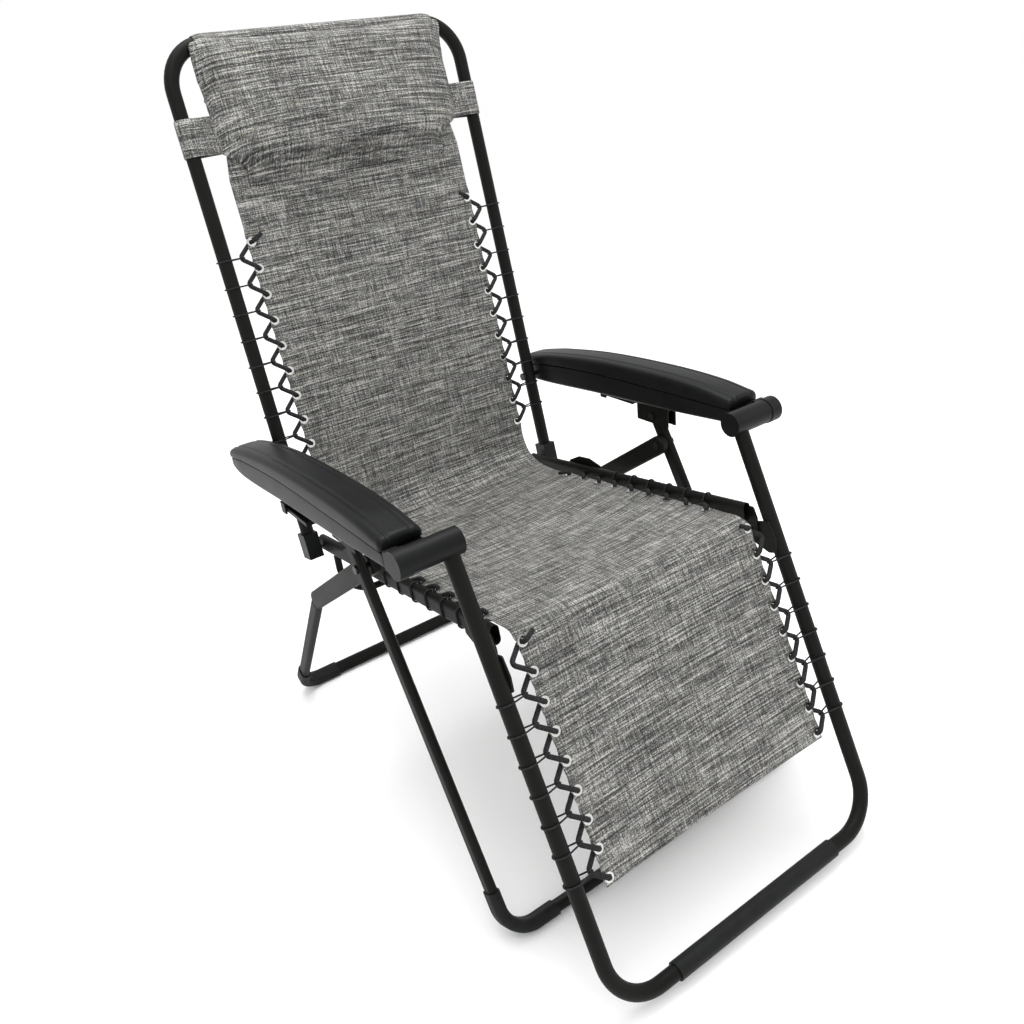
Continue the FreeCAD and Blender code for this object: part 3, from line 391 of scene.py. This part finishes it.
def bent(start, corner, end, count):
    """Points along a curve that leaves start towards corner and comes into end from it."""
    out = []
    for i in range(1, count):
        t = i / count
        slack = 3 * (1 - CORNER_PULL) * t * (1 - t)
        near, far = (1 - t) ** 3 + slack * (1 - t), t ** 3 + slack * t
        out.append(start * near + corner * (3 * CORNER_PULL * t * (1 - t)) + end * far)
    return out


def meeting(first, second):
    """Where two planes' lines cross in side view."""
    a, b, c, d = first.along.y, -second.along.y, first.along.z, -second.along.z
    gap = second.start - first.start
    run = (gap.y * d - b * gap.z) / (a * d - b * c)
    return first.at(run)


def straight(where, first, last, step):
    """Points on a plane from one run to another."""
    count = max(1, round(abs(last - first) / step))
    return [where.at(first + (last - first) * i / count) for i in range(count)]


def top_loop():
    """The fabric's way up the front of the top bar, round it and down its rear, in three lines."""
    bar, radius = BACK.at(TOP_BAR), TUBE_RADIUS + 0.0017
    over = []
    for i in range(15):
        turn = math.radians(-100 + 200 * i / 14)
        over.append(
            bar + BACK.along * (radius * math.cos(turn)) + BACK.face * (-radius * math.sin(turn))
        )
    rear = ((SHOULDER, 0.0085), (0.762, 0.0055), (SLEEVE_LOW, 0.0042))
    front = ((SLEEVE_LOW, 0.0008), (0.76, 0.0035), (SHOULDER, 0.0085))
    return [BACK.at(*mark) for mark in front], over, [BACK.at(run, -off) for run, off in rear]


def bar_droop(x):
    """How far the top bar has turned down where its corner bends begin to take it."""
    past = max(0.0, abs(x) - (TUBE_X - BAR_BEND))
    return BAR_BEND - math.sqrt(BAR_BEND ** 2 - past ** 2)


def cloth_columns(half):
    """Positions across the cloth: close together at the laced edges, wider between."""
    edge = [half - EDGE_STEP * i for i in range(11)]
    middle = [(half - 11 * EDGE_STEP) * (1 - i / 14) for i in range(14)]
    right = edge + middle
    return [-x for x in right] + [0.0] + right[::-1]


def eyelet_marks(where, runs):
    """Centres of the eyelets on both edges of a panel."""
    return [where.at(run, 0.0, side * EYELET_X) for run in runs for side in (-1, 1)]


def narrowing(run, sleeve):
    """The share of its width that the fabric keeps near the top bar, at a run up the back."""
    if sleeve:
        return 1.0 - 0.082 * min(1.0, max(0.0, (SHOULDER - run) / (SHOULDER - SLEEVE_LOW)))
    return 1.0 - 0.1 * min(1.0, max(0.0, (run - 0.60) / 0.12))


def make_panel(name, profile, half, holes, marks, thick, start_length=0.0, sleeve=False):
    """A panel of sling cloth swept along its side view profile of (point, sag) pairs, with eyelet
    holes and edges drawn in between the marks. A sleeve follows the bends of the top bar."""
    columns = cloth_columns(half)
    verts, uvs, faces = [], [], []
    run = start_length
    for i, (point, depth) in enumerate(profile):
        before = profile[max(0, i - 1)][0]
        after = profile[min(len(profile) - 1, i + 1)][0]
        if i:
            run += (point - before).length
        way = (after - before).normalized()
        back = Vector((0, way.z, -way.y))
        if back.dot(Vector((0, 0.6, -0.8))) < 0:
            back = -back
        nearest = min(((point - mark).length for mark in marks), default=1.0)
        draw = SCALLOP * min(1.0, nearest / HALF_SPACING) ** 1.5
        taper = narrowing((point - BACK.start).dot(BACK.along), sleeve)
        for x in columns:
            share = abs(x) / half
            x *= taper
            hang = depth * (1 - share ** 2.2)
            pull = draw * max(0.0, (share - SCALLOP_FROM) / (1 - SCALLOP_FROM)) ** 2
            fall = bar_droop(x) if sleeve else 0.0
            edge = Vector((x - math.copysign(pull, x) if x else 0.0, 0, 0))
            verts.append(point + edge + back * hang - BACK.along * fall)
            uvs.append((x, run))
    wide = len(columns)
    for i in range(len(profile) - 1):
        for j in range(wide - 1):
            a = i * wide + j
            faces.append((a, a + 1, a + wide + 1, a + wide))
    made = mesh_object(name, verts, faces, uvs)
    cut_holes(made, holes)
    settle(made, ("SOLIDIFY", {"thickness": thick, "offset": 0.0, "use_even_offset": True}))
    made.data.shade_smooth()
    return made


def cut_holes(made, centres, radius=0.0056):
    """Opens the cloth at each eyelet; the eyelet's rim covers the cut."""
    cloth = bmesh.new()
    cloth.from_mesh(made.data)
    cloth.faces.ensure_lookup_table()
    gone = [
        f for f in cloth.faces
        if abs(abs(f.calc_center_median().x) - EYELET_X) < 0.01
        and any((f.calc_center_median() - c).length < radius for c in centres)
    ]
    bmesh.ops.delete(cloth, geom=gone, context="FACES")
    for v in cloth.verts:
        if abs(abs(v.co.x) - EYELET_X) > 0.012 or not v.is_boundary:
            continue
        near = min(centres, key=lambda c: (v.co - c).length)
        gap = v.co - near
        if 0.0005 < gap.length < radius * 1.6:
            v.co = near + gap.normalized() * radius
    cloth.to_mesh(made.data)
    cloth.free()


def total(points):
    return sum((b - a).length for a, b in zip(points, points[1:]))


class RECLINER_OT_sling(bpy.types.Operator):
    """Weave the sling in two lengths that meet under the sitter, one shaped round the hip and one round the knee
    """

    bl_idname = "recliner.sling"
    bl_label = "Sling"

    def execute(self, context):
        props = context.scene.recliner_fabric
        step = props.cloth_step
        half = props.cloth_half_width
        face, loop, hem = top_loop()
        hip = meeting(BACK, SEAT)
        knee = meeting(SEAT, REST)
        middle = (SEAT_EYELETS[4] + SEAT_EYELETS[5]) / 2

        back_run = straight(BACK, SLEEVE_LOW, HIP_RUNS[0], step)
        hip_run = bent(BACK.at(HIP_RUNS[0]), hip, SEAT.at(HIP_RUNS[1]), 14)
        rear_seat = straight(SEAT, HIP_RUNS[1], middle, step) + [SEAT.at(middle)]
        front_seat = straight(SEAT, middle, KNEE_RUNS[0], step)
        knee_run = bent(SEAT.at(KNEE_RUNS[0]), knee, REST.at(KNEE_RUNS[1]), 14)
        rest_run = straight(REST, KNEE_RUNS[1], REST_END, step) + [REST.at(REST_END)]

        def hung(points, depths):
            """Pairs each point with its sag, read off a list of (share, depth) marks."""
            out = []
            for i, point in enumerate(points):
                share = i / (len(points) - 1)
                for (s0, d0), (s1, d1) in zip(depths, depths[1:]):
                    if s0 <= share <= s1:
                        out.append((point, d0 + (d1 - d0) * ease((share - s0) / (s1 - s0))))
                        break
            return out

        upper = back_run + [BACK.at(HIP_RUNS[0])] + hip_run + rear_seat
        lower = front_seat + [SEAT.at(KNEE_RUNS[0])] + knee_run + rest_run
        back_marks = [BACK.at(r) for r in BACK_EYELETS]
        seat_marks = [SEAT.at(r) for r in SEAT_EYELETS]
        rest_marks = [REST.at(r) for r in REST_EYELETS]
        thick = props.cloth_thickness

        sleeve = hem[::-1] + loop[::-1] + face[::-1]
        neck = make_panel(
            "sling_top_sleeve", [(p, 0.0) for p in sleeve], props.sleeve_half_width,
            [BACK.at(0)], [], thick, sleeve=True,
        )
        sleeve_length = total(sleeve)
        back = make_panel(
            "sling_back_panel",
            hung(upper, [
                (0, 0.0), (0.25, 0.006), (0.6, 0.009), (0.78, 0.006), (1, props.seat_sag),
            ]),
            half, eyelet_marks(BACK, BACK_EYELETS) + eyelet_marks(SEAT, SEAT_EYELETS),
            back_marks + seat_marks, thick, sleeve_length,
        )
        rest = make_panel(
            "sling_rest_panel",
            hung(lower, [
                (0, props.seat_sag), (0.32, 0.006), (0.45, 0.010), (0.7, 0.008), (1, 0.004),
            ]),
            half, eyelet_marks(SEAT, SEAT_EYELETS) + eyelet_marks(REST, REST_EYELETS),
            seat_marks + rest_marks, thick, sleeve_length + total(upper),
        )
        for piece in (neck, back, rest):
            dress(piece, FINISH["sling_fabric"])
        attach(neck, "back")
        BACK.at(0.11)
        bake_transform(back)
        REST.at(0.17)
        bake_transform(rest)
        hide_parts("sling_back", "sling_seat")
        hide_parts("sling_leg_rest")
        return {"FINISHED"}


# ------------------------------------------------------------ the head pillow

PILLOW_GAP = 0.0015        # between the bag's rear and the back's plane
PILLOW_SEAM = 0.0045       # thickness of the bag at its seams
PILLOW_LIFT = 0.0105       # how far the top seam is drawn forward onto the top bar
PILLOW_CORNER = 0.029      # how far each bottom corner is cut in, to pass between the eyelets


def pillow_blank(half, low, high, thick):
    """A closed bag of cloth on the back's plane, fullest below its middle. It is drawn up onto the
    top bar at its top seam, and its bottom corners are cut in."""
    across, up = 28, 22
    front, rear, verts, faces = {}, {}, [], []
    for i in range(across + 1):
        for j in range(up + 1):
            u, v = 2 * i / across - 1, j / up
            round_u = math.copysign(1 - (1 - abs(u)) ** 1.1, u)
            swell = math.sin(math.pi * v ** 0.72) ** 0.9
            full = max(0.0, 1 - abs(u) ** 3.2) * swell
            width = half * (0.95 + 0.04 * v + 0.035 * math.sin(math.pi * v))
            width -= PILLOW_CORNER * (1 - ease((v - 0.14) / 0.12))
            x = round_u * width
            run = low + v * (high - low) - v ** 3 * bar_droop(min(abs(x), 0.222))
            lift = PILLOW_LIFT * max(0.0, (v - 0.72) / 0.28) ** 1.3
            front[i, j] = len(verts)
            verts.append(BACK.at(run, PILLOW_GAP + PILLOW_SEAM + lift + thick * full, x))
            rear[i, j] = len(verts)
            verts.append(BACK.at(run, PILLOW_GAP + lift * 0.9, x))
    for i in range(across):
        for j in range(up):
            ring = [(i, j), (i + 1, j), (i + 1, j + 1), (i, j + 1)]
            faces.append([front[k] for k in ring])
            faces.append([rear[k] for k in ring[::-1]])
    rim = [(i, 0) for i in range(across)] + [(across, j) for j in range(up)]
    rim += [(i, up) for i in range(across, 0, -1)] + [(0, j) for j in range(up, 0, -1)]
    for a, b in zip(rim, rim[1:] + rim[:1]):
        faces.append([front[a], rear[a], rear[b], front[b]])
    return verts, faces


def inflate(piece, voxel, pressure, cap, frames=20):
    """Fills a closed cloth with air: remeshed, blown up as cloth, held within cap of its start."""
    settle(piece, ("REMESH", {"mode": "VOXEL", "voxel_size": voxel}))
    start = [v.co.copy() for v in piece.data.vertices]
    cloth = piece.modifiers.new("cloth", "CLOTH").settings
    cloth.use_pressure = True
    cloth.uniform_pressure_force = pressure
    cloth.effector_weights.gravity = 0
    cloth.mass = 0.35
    cloth.quality = 5
    scene = bpy.context.scene
    for number in range(1, frames + 1):
        scene.frame_set(number)
    choose(piece)
    bpy.ops.object.modifier_apply(modifier="cloth")
    scene.frame_set(1)
    for v, was in zip(piece.data.vertices, start):
        move = v.co - was
        if move.length > cap:
            v.co = was + move.normalized() * cap
    settle(piece, ("SMOOTH", {"factor": 0.5, "iterations": 4}), ("SUBSURF", {"levels": 1}))


def lay_cloth_map(piece, origin_run):
    """Gives a padded piece the cloth's flat coordinates, unrolled over the back's plane."""
    layer = piece.data.uv_layers.new(name="cloth")
    for loop in piece.data.loops:
        co = piece.data.vertices[loop.vertex_index].co
        gap = co - BACK.start
        run, off = gap.dot(BACK.along), gap.dot(BACK.face)
        layer.data[loop.index].uv = (co.x, origin_run - run + 0.35 * off)
    piece.data.shade_smooth()


class RECLINER_OT_pillow(bpy.types.Operator):
    """Sew and fill the head pillow and wrap its two straps round the side tubes"""

    bl_idname = "recliner.pillow"
    bl_label = "Head pillow"

    def execute(self, context):
        props = context.scene.recliner_fabric
        verts, faces = pillow_blank(
            props.pillow_half_width, props.pillow_low, props.pillow_high, props.pillow_thickness
        )
        pillow = mesh_object("head_pillow_cushion", verts, faces)
        inflate(pillow, 0.0042, 3.0, 0.008)
        flatten_rear(pillow)
        lay_cloth_map(pillow, props.pillow_high)
        dress(pillow, FINISH["sling_fabric"])
        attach(pillow, "head_rest")
        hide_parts("head_pillow")
        for side, hand in ((-1, "right"), (1, "left")):
            strap = make_strap(f"pillow_strap_{hand}", side, props)
            dress(strap, FINISH["sling_fabric"])
            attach(strap, "head_rest")
        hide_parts("pillow_straps")
        return {"FINISHED"}


def flatten_rear(pillow):
    """Thins the pillow towards its lower seam and rests it on the sling and the top sleeve."""
    seam_share, thin_length = 0.12, 0.05
    sling, sleeve, sleeve_low, rise = 0.0012, 0.0125, 0.752, 0.03
    runs = [(v.co - BACK.start).dot(BACK.along) for v in pillow.data.vertices]
    bottom = min(runs)
    for v, run in zip(pillow.data.vertices, runs):
        off = (v.co - BACK.start).dot(BACK.face)
        thin = seam_share + (1 - seam_share) * ease((run - bottom) / thin_length)
        v.co -= BACK.face * off * (1 - thin)
        off *= thin
        support = sling + sleeve * min(1.0, max(0.0, (run - sleeve_low) / rise)) ** 1.5
        if off < support:
            v.co += BACK.face * (support - off)


def make_strap(name, side, props):
    """A doubled band of the same cloth from the pillow's side, round a tube and back behind it."""
    low, high = props.strap_low, props.strap_high
    radius = TUBE_RADIUS + 0.0016
    inner = props.pillow_half_width - 0.020
    beside, close = TUBE_X - 0.024, TUBE_X - 0.012
    crown, ripple = 0.0007, 0.0004
    path = [(inner, 0.0095), (inner + 0.012, 0.0105), (beside, 0.0118), (close, radius + 0.0004)]
    for i in range(13):
        turn = math.radians(90 - 180 * i / 12)
        path.append((TUBE_X + radius * math.cos(turn), radius * math.sin(turn)))
    path += [
        (close, -radius + 0.0004), (beside, -0.0095), (inner + 0.01, -0.0055), (inner, -0.0045),
    ]
    rows = 12
    verts, uvs, faces = [], [], []
    run = 0.0
    for i, (x, off) in enumerate(path):
        if i:
            run += math.hypot(x - path[i - 1][0], off - path[i - 1][1])
        for j in range(rows + 1):
            share = j / rows
            up = low + (high - low) * share
            lift = crown * math.sin(share * math.pi) + ripple * math.sin(share * 9 + i * 0.8 + side)
            verts.append(BACK.at(up, off + (lift if off > 0 else -lift), side * x))
            uvs.append((side * x + (0 if off > 0 else 0.05), 0.8 - up + run * 0.02))
    for i in range(len(path) - 1):
        for j in range(rows):
            a = i * (rows + 1) + j
            faces.append((a, a + 1, a + rows + 2, a + rows + 1))
    made = mesh_object(name, verts, faces, uvs)
    settle(made, ("SOLIDIFY", {"thickness": 0.0012, "offset": 0.0}), ("SUBSURF", {"levels": 1}))
    made.data.shade_smooth()
    return made


# ------------------------------------------------------------ the lacing

class RECLINER_OT_cords(bpy.types.Operator):
    """Give the three lacings their braided sheath, which is thicker than the bare cord"""

    bl_idname = "recliner.cords"
    bl_label = "Cords"

    def execute(self, context):
        for body in ("back", "seat", "leg_rest"):
            name = f"{body}_lacing"
            bare = frame["nodes"][name]
            sheath = bmesh.new()
            sheath.from_mesh(bare.data)
            sheath.transform(bare.matrix_world)
            bmesh.ops.remove_doubles(sheath, verts=sheath.verts, dist=0.00001)
            bmesh.ops.recalc_face_normals(sheath, faces=sheath.faces)
            sheath.normal_update()
            sheath.verts.index_update()
            swollen = [v.co + v.normal * context.scene.recliner_fabric.sheath for v in sheath.verts]
            faces = [[v.index for v in f.verts] for f in sheath.faces]
            cord = mesh_object(f"{name}_sheath", swollen, faces)
            sheath.free()
            dress(cord, FINISH["elastic_cord"])
            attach(cord, body)
            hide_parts(name)
        return {"FINISHED"}


# ------------------------------------------------------------ the armrests

# Side view lines of an armrest, as (y, z) from its rear to its front, in metres.
ARM_TOP = [(0.3705, 0.5830), (0.3575, 0.5895), (0.3375, 0.5950), (0.2715, 0.6080),
           (0.1415, 0.6240), (-0.0185, 0.6320), (-0.1185, 0.6310), (-0.1805, 0.6240)]
ARM_SEAM = [(0.3715, 0.5712), (0.2915, 0.5860), (0.1445, 0.6000), (-0.0585, 0.6060),
            (-0.1865, 0.6080)]
ARM_LOW = [(0.3655, 0.5520), (0.3415, 0.5495), (0.2815, 0.5515), (0.1315, 0.5630),
           (-0.0585, 0.5750), (-0.1875, 0.5860)]
ARM_END = 0.006        # radius of an armrest's two ends
ARM_TAPER = 0.09       # length over which its rear narrows
GROOVES = (0.54, 0.1)  # place and width of the pad's two grooves, as shares of its half width


def line_at(line, y):
    """Height of a smooth side view line at y."""
    line = sorted(line)
    y = min(max(y, line[0][0]), line[-1][0])
    slopes = []
    for i in range(len(line)):
        a, b = line[max(0, i - 1)], line[min(len(line) - 1, i + 1)]
        slopes.append((b[1] - a[1]) / (b[0] - a[0]))
    for i, ((y0, z0), (y1, z1)) in enumerate(zip(line, line[1:])):
        if y <= y1:
            h = y1 - y0
            t = (y - y0) / h
            return (
                z0 * (1 + 2 * t) * (1 - t) ** 2 + slopes[i] * h * t * (1 - t) ** 2
                + z1 * t * t * (3 - 2 * t) - slopes[i + 1] * h * t * t * (1 - t)
            )
    return line[-1][1]


def ring_points(half, low, high, low_round, high_round, crown):
    """An armrest's section: straight sides, rounded corners and a crowned top with two grooves."""
    out = []
    corners = ((1, 0, high - high_round, high_round), (-1, 90, high - high_round, high_round),
               (-1, 180, low + low_round, low_round), (1, 270, low + low_round, low_round))
    for side, start, middle, radius in corners:
        for i in range(7):
            turn = math.radians(start + 15 * i)
            x = side * (half - radius) + radius * math.cos(turn)
            out.append((x, middle + radius * math.sin(turn)))
        if start == 0:
            for i in range(1, 24):
                x = (half - radius) * (1 - i / 12)
                groove = max(0.0, 1 - abs(abs(x) / half - GROOVES[0]) / GROOVES[1])
                out.append((x, high + crown * (1 - (x / half) ** 2 - groove * (2 - groove))))
    return out


def loft(name, rings):
    """A closed mesh through rings of equal count."""
    verts = [point for ring in rings for point in ring]
    count = len(rings[0])
    faces = [tuple(range(count))[::-1], tuple(range(len(verts) - count, len(verts)))]
    for i in range(len(rings) - 1):
        for j in range(count):
            a, b = i * count + j, i * count + (j + 1) % count
            faces.append((a, b, b + count, a + count))
    made = mesh_object(name, verts, faces)
    shell = bmesh.new()
    shell.from_mesh(made.data)
    bmesh.ops.recalc_face_normals(shell, faces=shell.faces)
    shell.to_mesh(made.data)
    shell.free()
    return made


def arm_rings(centre_x, lower, upper, half, rounds, crown, ends):
    """Rings along an armrest between two side view lines, drawn in at both ends."""
    rear, front = ends
    steps = [0.0, 0.0015, 0.004, 0.008, 0.013] + [0.02 + 0.011 * i for i in range(48)]
    reach = rear - front
    near_end = [s for s in steps if s < reach / 2]
    places = sorted({*near_end, *(reach - s for s in near_end)})
    rings = []
    for run in places:
        y = rear - run
        edge = min(run, reach - run)
        close = math.sqrt(max(0.0, 1 - max(0.0, 1 - edge / ARM_END) ** 2))
        slim = half * (1 - 0.1 * max(0.0, 1 - run / ARM_TAPER) ** 2) - 0.004 * (1 - close)
        low, high = line_at(lower, y), line_at(upper, y)
        drop = min(0.004, (high - low) * 0.3) * (1 - close)
        low_round = min(rounds[0], (high - low) * 0.4)
        high_round = min(rounds[1], (high - low) * 0.55)
        section = ring_points(slim, low + drop * 0.3, high - drop, low_round, high_round, crown)
        rings.append([(centre_x + x, y, z) for x, z in section])
    return rings


class RECLINER_OT_armrests(bpy.types.Operator):
    """Mould the crowned pad and the lower shell of each armrest"""

    bl_idname = "recliner.armrests"
    bl_label = "Armrests"

    def execute(self, context):
        props = context.scene.recliner_fabric
        for hand in ("left", "right"):
            low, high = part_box(f"armrest_pad_{hand}")
            centre, half = (low.x + high.x) / 2, (high.x - low.x) / 2
            pad = loft(
                f"armrest_pad_moulding_{hand}",
                arm_rings(
                    centre, [(y, z + props.arm_gap / 2) for y, z in ARM_SEAM], ARM_TOP, half,
                    (0.0016, 0.0095), 0.0014, (ARM_TOP[0][0], ARM_TOP[-1][0]),
                ),
            )
            shell = loft(
                f"armrest_shell_moulding_{hand}",
                arm_rings(
                    centre, ARM_LOW, [(y, z - props.arm_gap / 2) for y, z in ARM_SEAM],
                    half - 0.0012, (0.007, 0.0016), 0.0,
                    (ARM_SEAM[0][0] - 0.001, ARM_SEAM[-1][0]),
                ),
            )
            for piece, replaced in ((pad, f"armrest_pad_{hand}"), (shell, f"armrest_shell_{hand}")):
                dress(piece, FINISH["black_moulding"])
                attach(piece, "armrests")
                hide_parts(replaced)
        return {"FINISHED"}


# ------------------------------------------------------------ finishes on the frame's own parts

class RECLINER_OT_finishes(bpy.types.Operator):
    """Make every finish and give each part of the frame its own"""

    bl_idname = "recliner.finishes"
    bl_label = "Finishes"

    def execute(self, context):
        for slot_name, maker in MAKERS.items():
            FINISH[slot_name] = maker(context.scene.recliner_finish)
        for part in frame["record"]["subparts"]:
            dress(frame["nodes"][part["node"]], FINISH[part["material_slot"]])
        return {"FINISHED"}


# ------------------------------------------------------------ the stage

class RECLINER_OT_stage(bpy.types.Operator):
    """Set a pale floor, soft lamps and the camera"""

    bl_idname = "recliner.stage"
    bl_label = "Stage"

    def execute(self, context):
        scene = context.scene
        props = scene.recliner_stage
        floor = mesh_object(
            "studio_floor", [(-30, -30, 0), (30, -30, 0), (30, 30, 0), (-30, 30, 0)], [(0, 1, 2, 3)]
        )
        paper = surface("matt_white_paper", props.floor_colour, 0.9,
                        relief=(0.002, 2.0, EVEN, 0.1, 0.0003), Specular_IOR_Level=0.1)
        dress(floor, paper)

        world = bpy.data.worlds.new("studio")
        scene.world = world
        world.use_nodes = True
        sky = world.node_tree.nodes["Background"]
        sky.inputs["Color"].default_value = linear("#ffffff")
        sky.inputs["Strength"].default_value = props.sky_strength

        for name, place, size, watts in (
            ("key_lamp", (-0.9, -1.3, 3.3), 2.2, props.key_watts),
            ("fill_lamp", (2.6, -1.5, 1.8), 2.5, props.fill_watts),
            ("top_lamp", (0.2, 0.5, 3.3), 2.2, props.top_watts),
        ):
            lamp = bpy.data.lights.new(name, "AREA")
            lamp.shape, lamp.size, lamp.energy = "DISK", size, watts
            stand = bpy.data.objects.new(name, lamp)
            stand.location = place
            stand.rotation_mode = "QUATERNION"
            towards = Vector((0, 0, 0.5)) - Vector(place)
            stand.rotation_quaternion = towards.to_track_quat("-Z", "Y")
            scene.collection.objects.link(stand)

        lens = bpy.data.cameras.new("camera")
        lens.sensor_width, lens.lens = 36.0, props.lens_mm
        lens.clip_start, lens.clip_end = 0.05, 100.0
        camera = bpy.data.objects.new("camera", lens)
        scene.collection.objects.link(camera)
        azimuth, height = math.radians(props.azimuth), math.radians(props.elevation)
        away = Vector((
            math.sin(azimuth) * math.cos(height),
            -math.cos(azimuth) * math.cos(height),
            math.sin(height),
        ))
        right = (-away).cross(Vector((0, 0, 1))).normalized()
        up = right.cross(-away)
        roll = math.radians(props.roll)
        across = right * math.cos(roll) + up * math.sin(roll)
        upward = up * math.cos(roll) - right * math.sin(roll)
        turned = Matrix((across, upward, away)).transposed().to_4x4()
        camera.matrix_world = Matrix.Translation(Vector(props.aim) + away * props.distance) @ turned
        scene.camera = camera
        scene.view_settings.view_transform = "Standard"
        return {"FINISHED"}


# ------------------------------------------------------------ what a user may change

class ReclinerFabric(bpy.types.PropertyGroup):
    cloth_half_width: length("Half width", "Half the width of the sling", 0.211)
    cloth_thickness: length("Thickness", "Thickness of the sling cloth", 0.0011)
    cloth_step: length("Mesh step", "Spacing of the cloth mesh along the chair", 0.0032)
    sleeve_half_width: length("Sleeve half width", "Half the width of the top bar's sleeve", 0.207)
    seat_sag: length("Seat sag", "How far the middle of the seat hangs below its edges", 0.010)
    pillow_half_width: length("Pillow half width", "Half the width of the head pillow", 0.221)
    pillow_low: length("Pillow bottom", "Where the pillow starts, up the back frame", 0.580)
    pillow_high: length("Pillow top", "Where the pillow ends, up the back frame", 0.8045)
    pillow_thickness: length("Pillow thickness", "The pillow's thickness before filling", 0.034)
    sheath: length("Cord sheath", "How much the braid adds to a cord's radius", 0.0012)
    arm_gap: length("Armrest gap", "Shadow gap between an armrest's pad and shell", 0.0016)
    strap_low: length("Strap bottom", "Lower edge of the pillow's straps, up the back frame", 0.640)
    strap_high: length("Strap top", "Upper edge of the pillow's straps, up the back frame", 0.694)


class ReclinerFinish(bpy.types.PropertyGroup):
    cloth_dark: colour("Cloth dark", "Darkest yarn, as an sRGB hex code", "#1e1e1d")
    cloth_mid: colour("Cloth middle", "Most common yarn, as an sRGB hex code", "#636360")
    cloth_light: colour("Cloth light", "Lightest yarn, as an sRGB hex code", "#b3b2ad")
    frame_colour: colour("Frame", "Powder coat, as an sRGB hex code", "#0e0e0c")
    moulding_colour: colour("Mouldings", "Black mouldings, as an sRGB hex code", "#0b0c0c")


class ReclinerStage(bpy.types.PropertyGroup):
    floor_colour: colour("Floor", "Floor, as an sRGB hex code", "#ffffff")
    sky_strength: bpy.props.FloatProperty(
        name="Sky", description="Brightness of the white surroundings", default=1.0, min=0.0)
    key_watts: power("Key lamp", "Power of the lamp in front", 26.0)
    fill_watts: power("Fill lamp", "Power of the lamp at the side", 10.0)
    top_watts: power("Top lamp", "Power of the lamp behind", 62.0)
    lens_mm: bpy.props.FloatProperty(
        name="Lens", description="Focal length in millimetres", default=32.236, min=10.0,
        subtype="DISTANCE_CAMERA")
    azimuth: bpy.props.FloatProperty(
        name="Azimuth", description="Camera's turn round the chair, in degrees", default=-32.3585)
    elevation: bpy.props.FloatProperty(
        name="Elevation", description="Camera's height, in degrees", default=26.6129)
    roll: bpy.props.FloatProperty(
        name="Roll", description="Camera's roll, in degrees", default=-6.7579)
    distance: length("Distance", "From the camera to the point that it looks at", 1.486)
    aim: bpy.props.FloatVectorProperty(
        name="Aim", description="The point that the camera looks at",
        default=(0.0063, 0.0454, 0.4572), size=3, unit="LENGTH", subtype="TRANSLATION")


class RECLINER_PT_panel(bpy.types.Panel):
    """Lists the recliner's pieces and settings"""

    bl_idname = "RECLINER_PT_panel"
    bl_label = "Zero gravity recliner"
    bl_space_type = "VIEW_3D"
    bl_region_type = "UI"
    bl_category = "Recliner"

    def draw(self, context):
        for group in (ReclinerFabric, ReclinerFinish, ReclinerStage):
            settings = getattr(context.scene, GROUPS[group])
            box = self.layout.box()
            for name in group.__annotations__:
                box.prop(settings, name)
        for operator in OPERATORS:
            self.layout.operator(operator.bl_idname)


GROUPS = {
    ReclinerFabric: "recliner_fabric",
    ReclinerFinish: "recliner_finish",
    ReclinerStage: "recliner_stage",
}
OPERATORS = (
    RECLINER_OT_finishes, RECLINER_OT_sling, RECLINER_OT_pillow, RECLINER_OT_cords,
    RECLINER_OT_armrests, RECLINER_OT_stage,
)


def register():
    for made in (*GROUPS, *OPERATORS, RECLINER_PT_panel):
        bpy.utils.register_class(made)
    for group, name in GROUPS.items():
        setattr(bpy.types.Scene, name, bpy.props.PointerProperty(type=group))


def unregister():
    for name in GROUPS.values():
        delattr(bpy.types.Scene, name)
    for made in reversed((*GROUPS, *OPERATORS, RECLINER_PT_panel)):
        bpy.utils.unregister_class(made)


def main():
    register()
    bpy.ops.recliner.finishes()
    bpy.ops.recliner.sling()
    bpy.ops.recliner.pillow()
    bpy.ops.recliner.cords()
    bpy.ops.recliner.armrests()
    bpy.ops.recliner.stage()


if __name__ == "__main__":
    main()
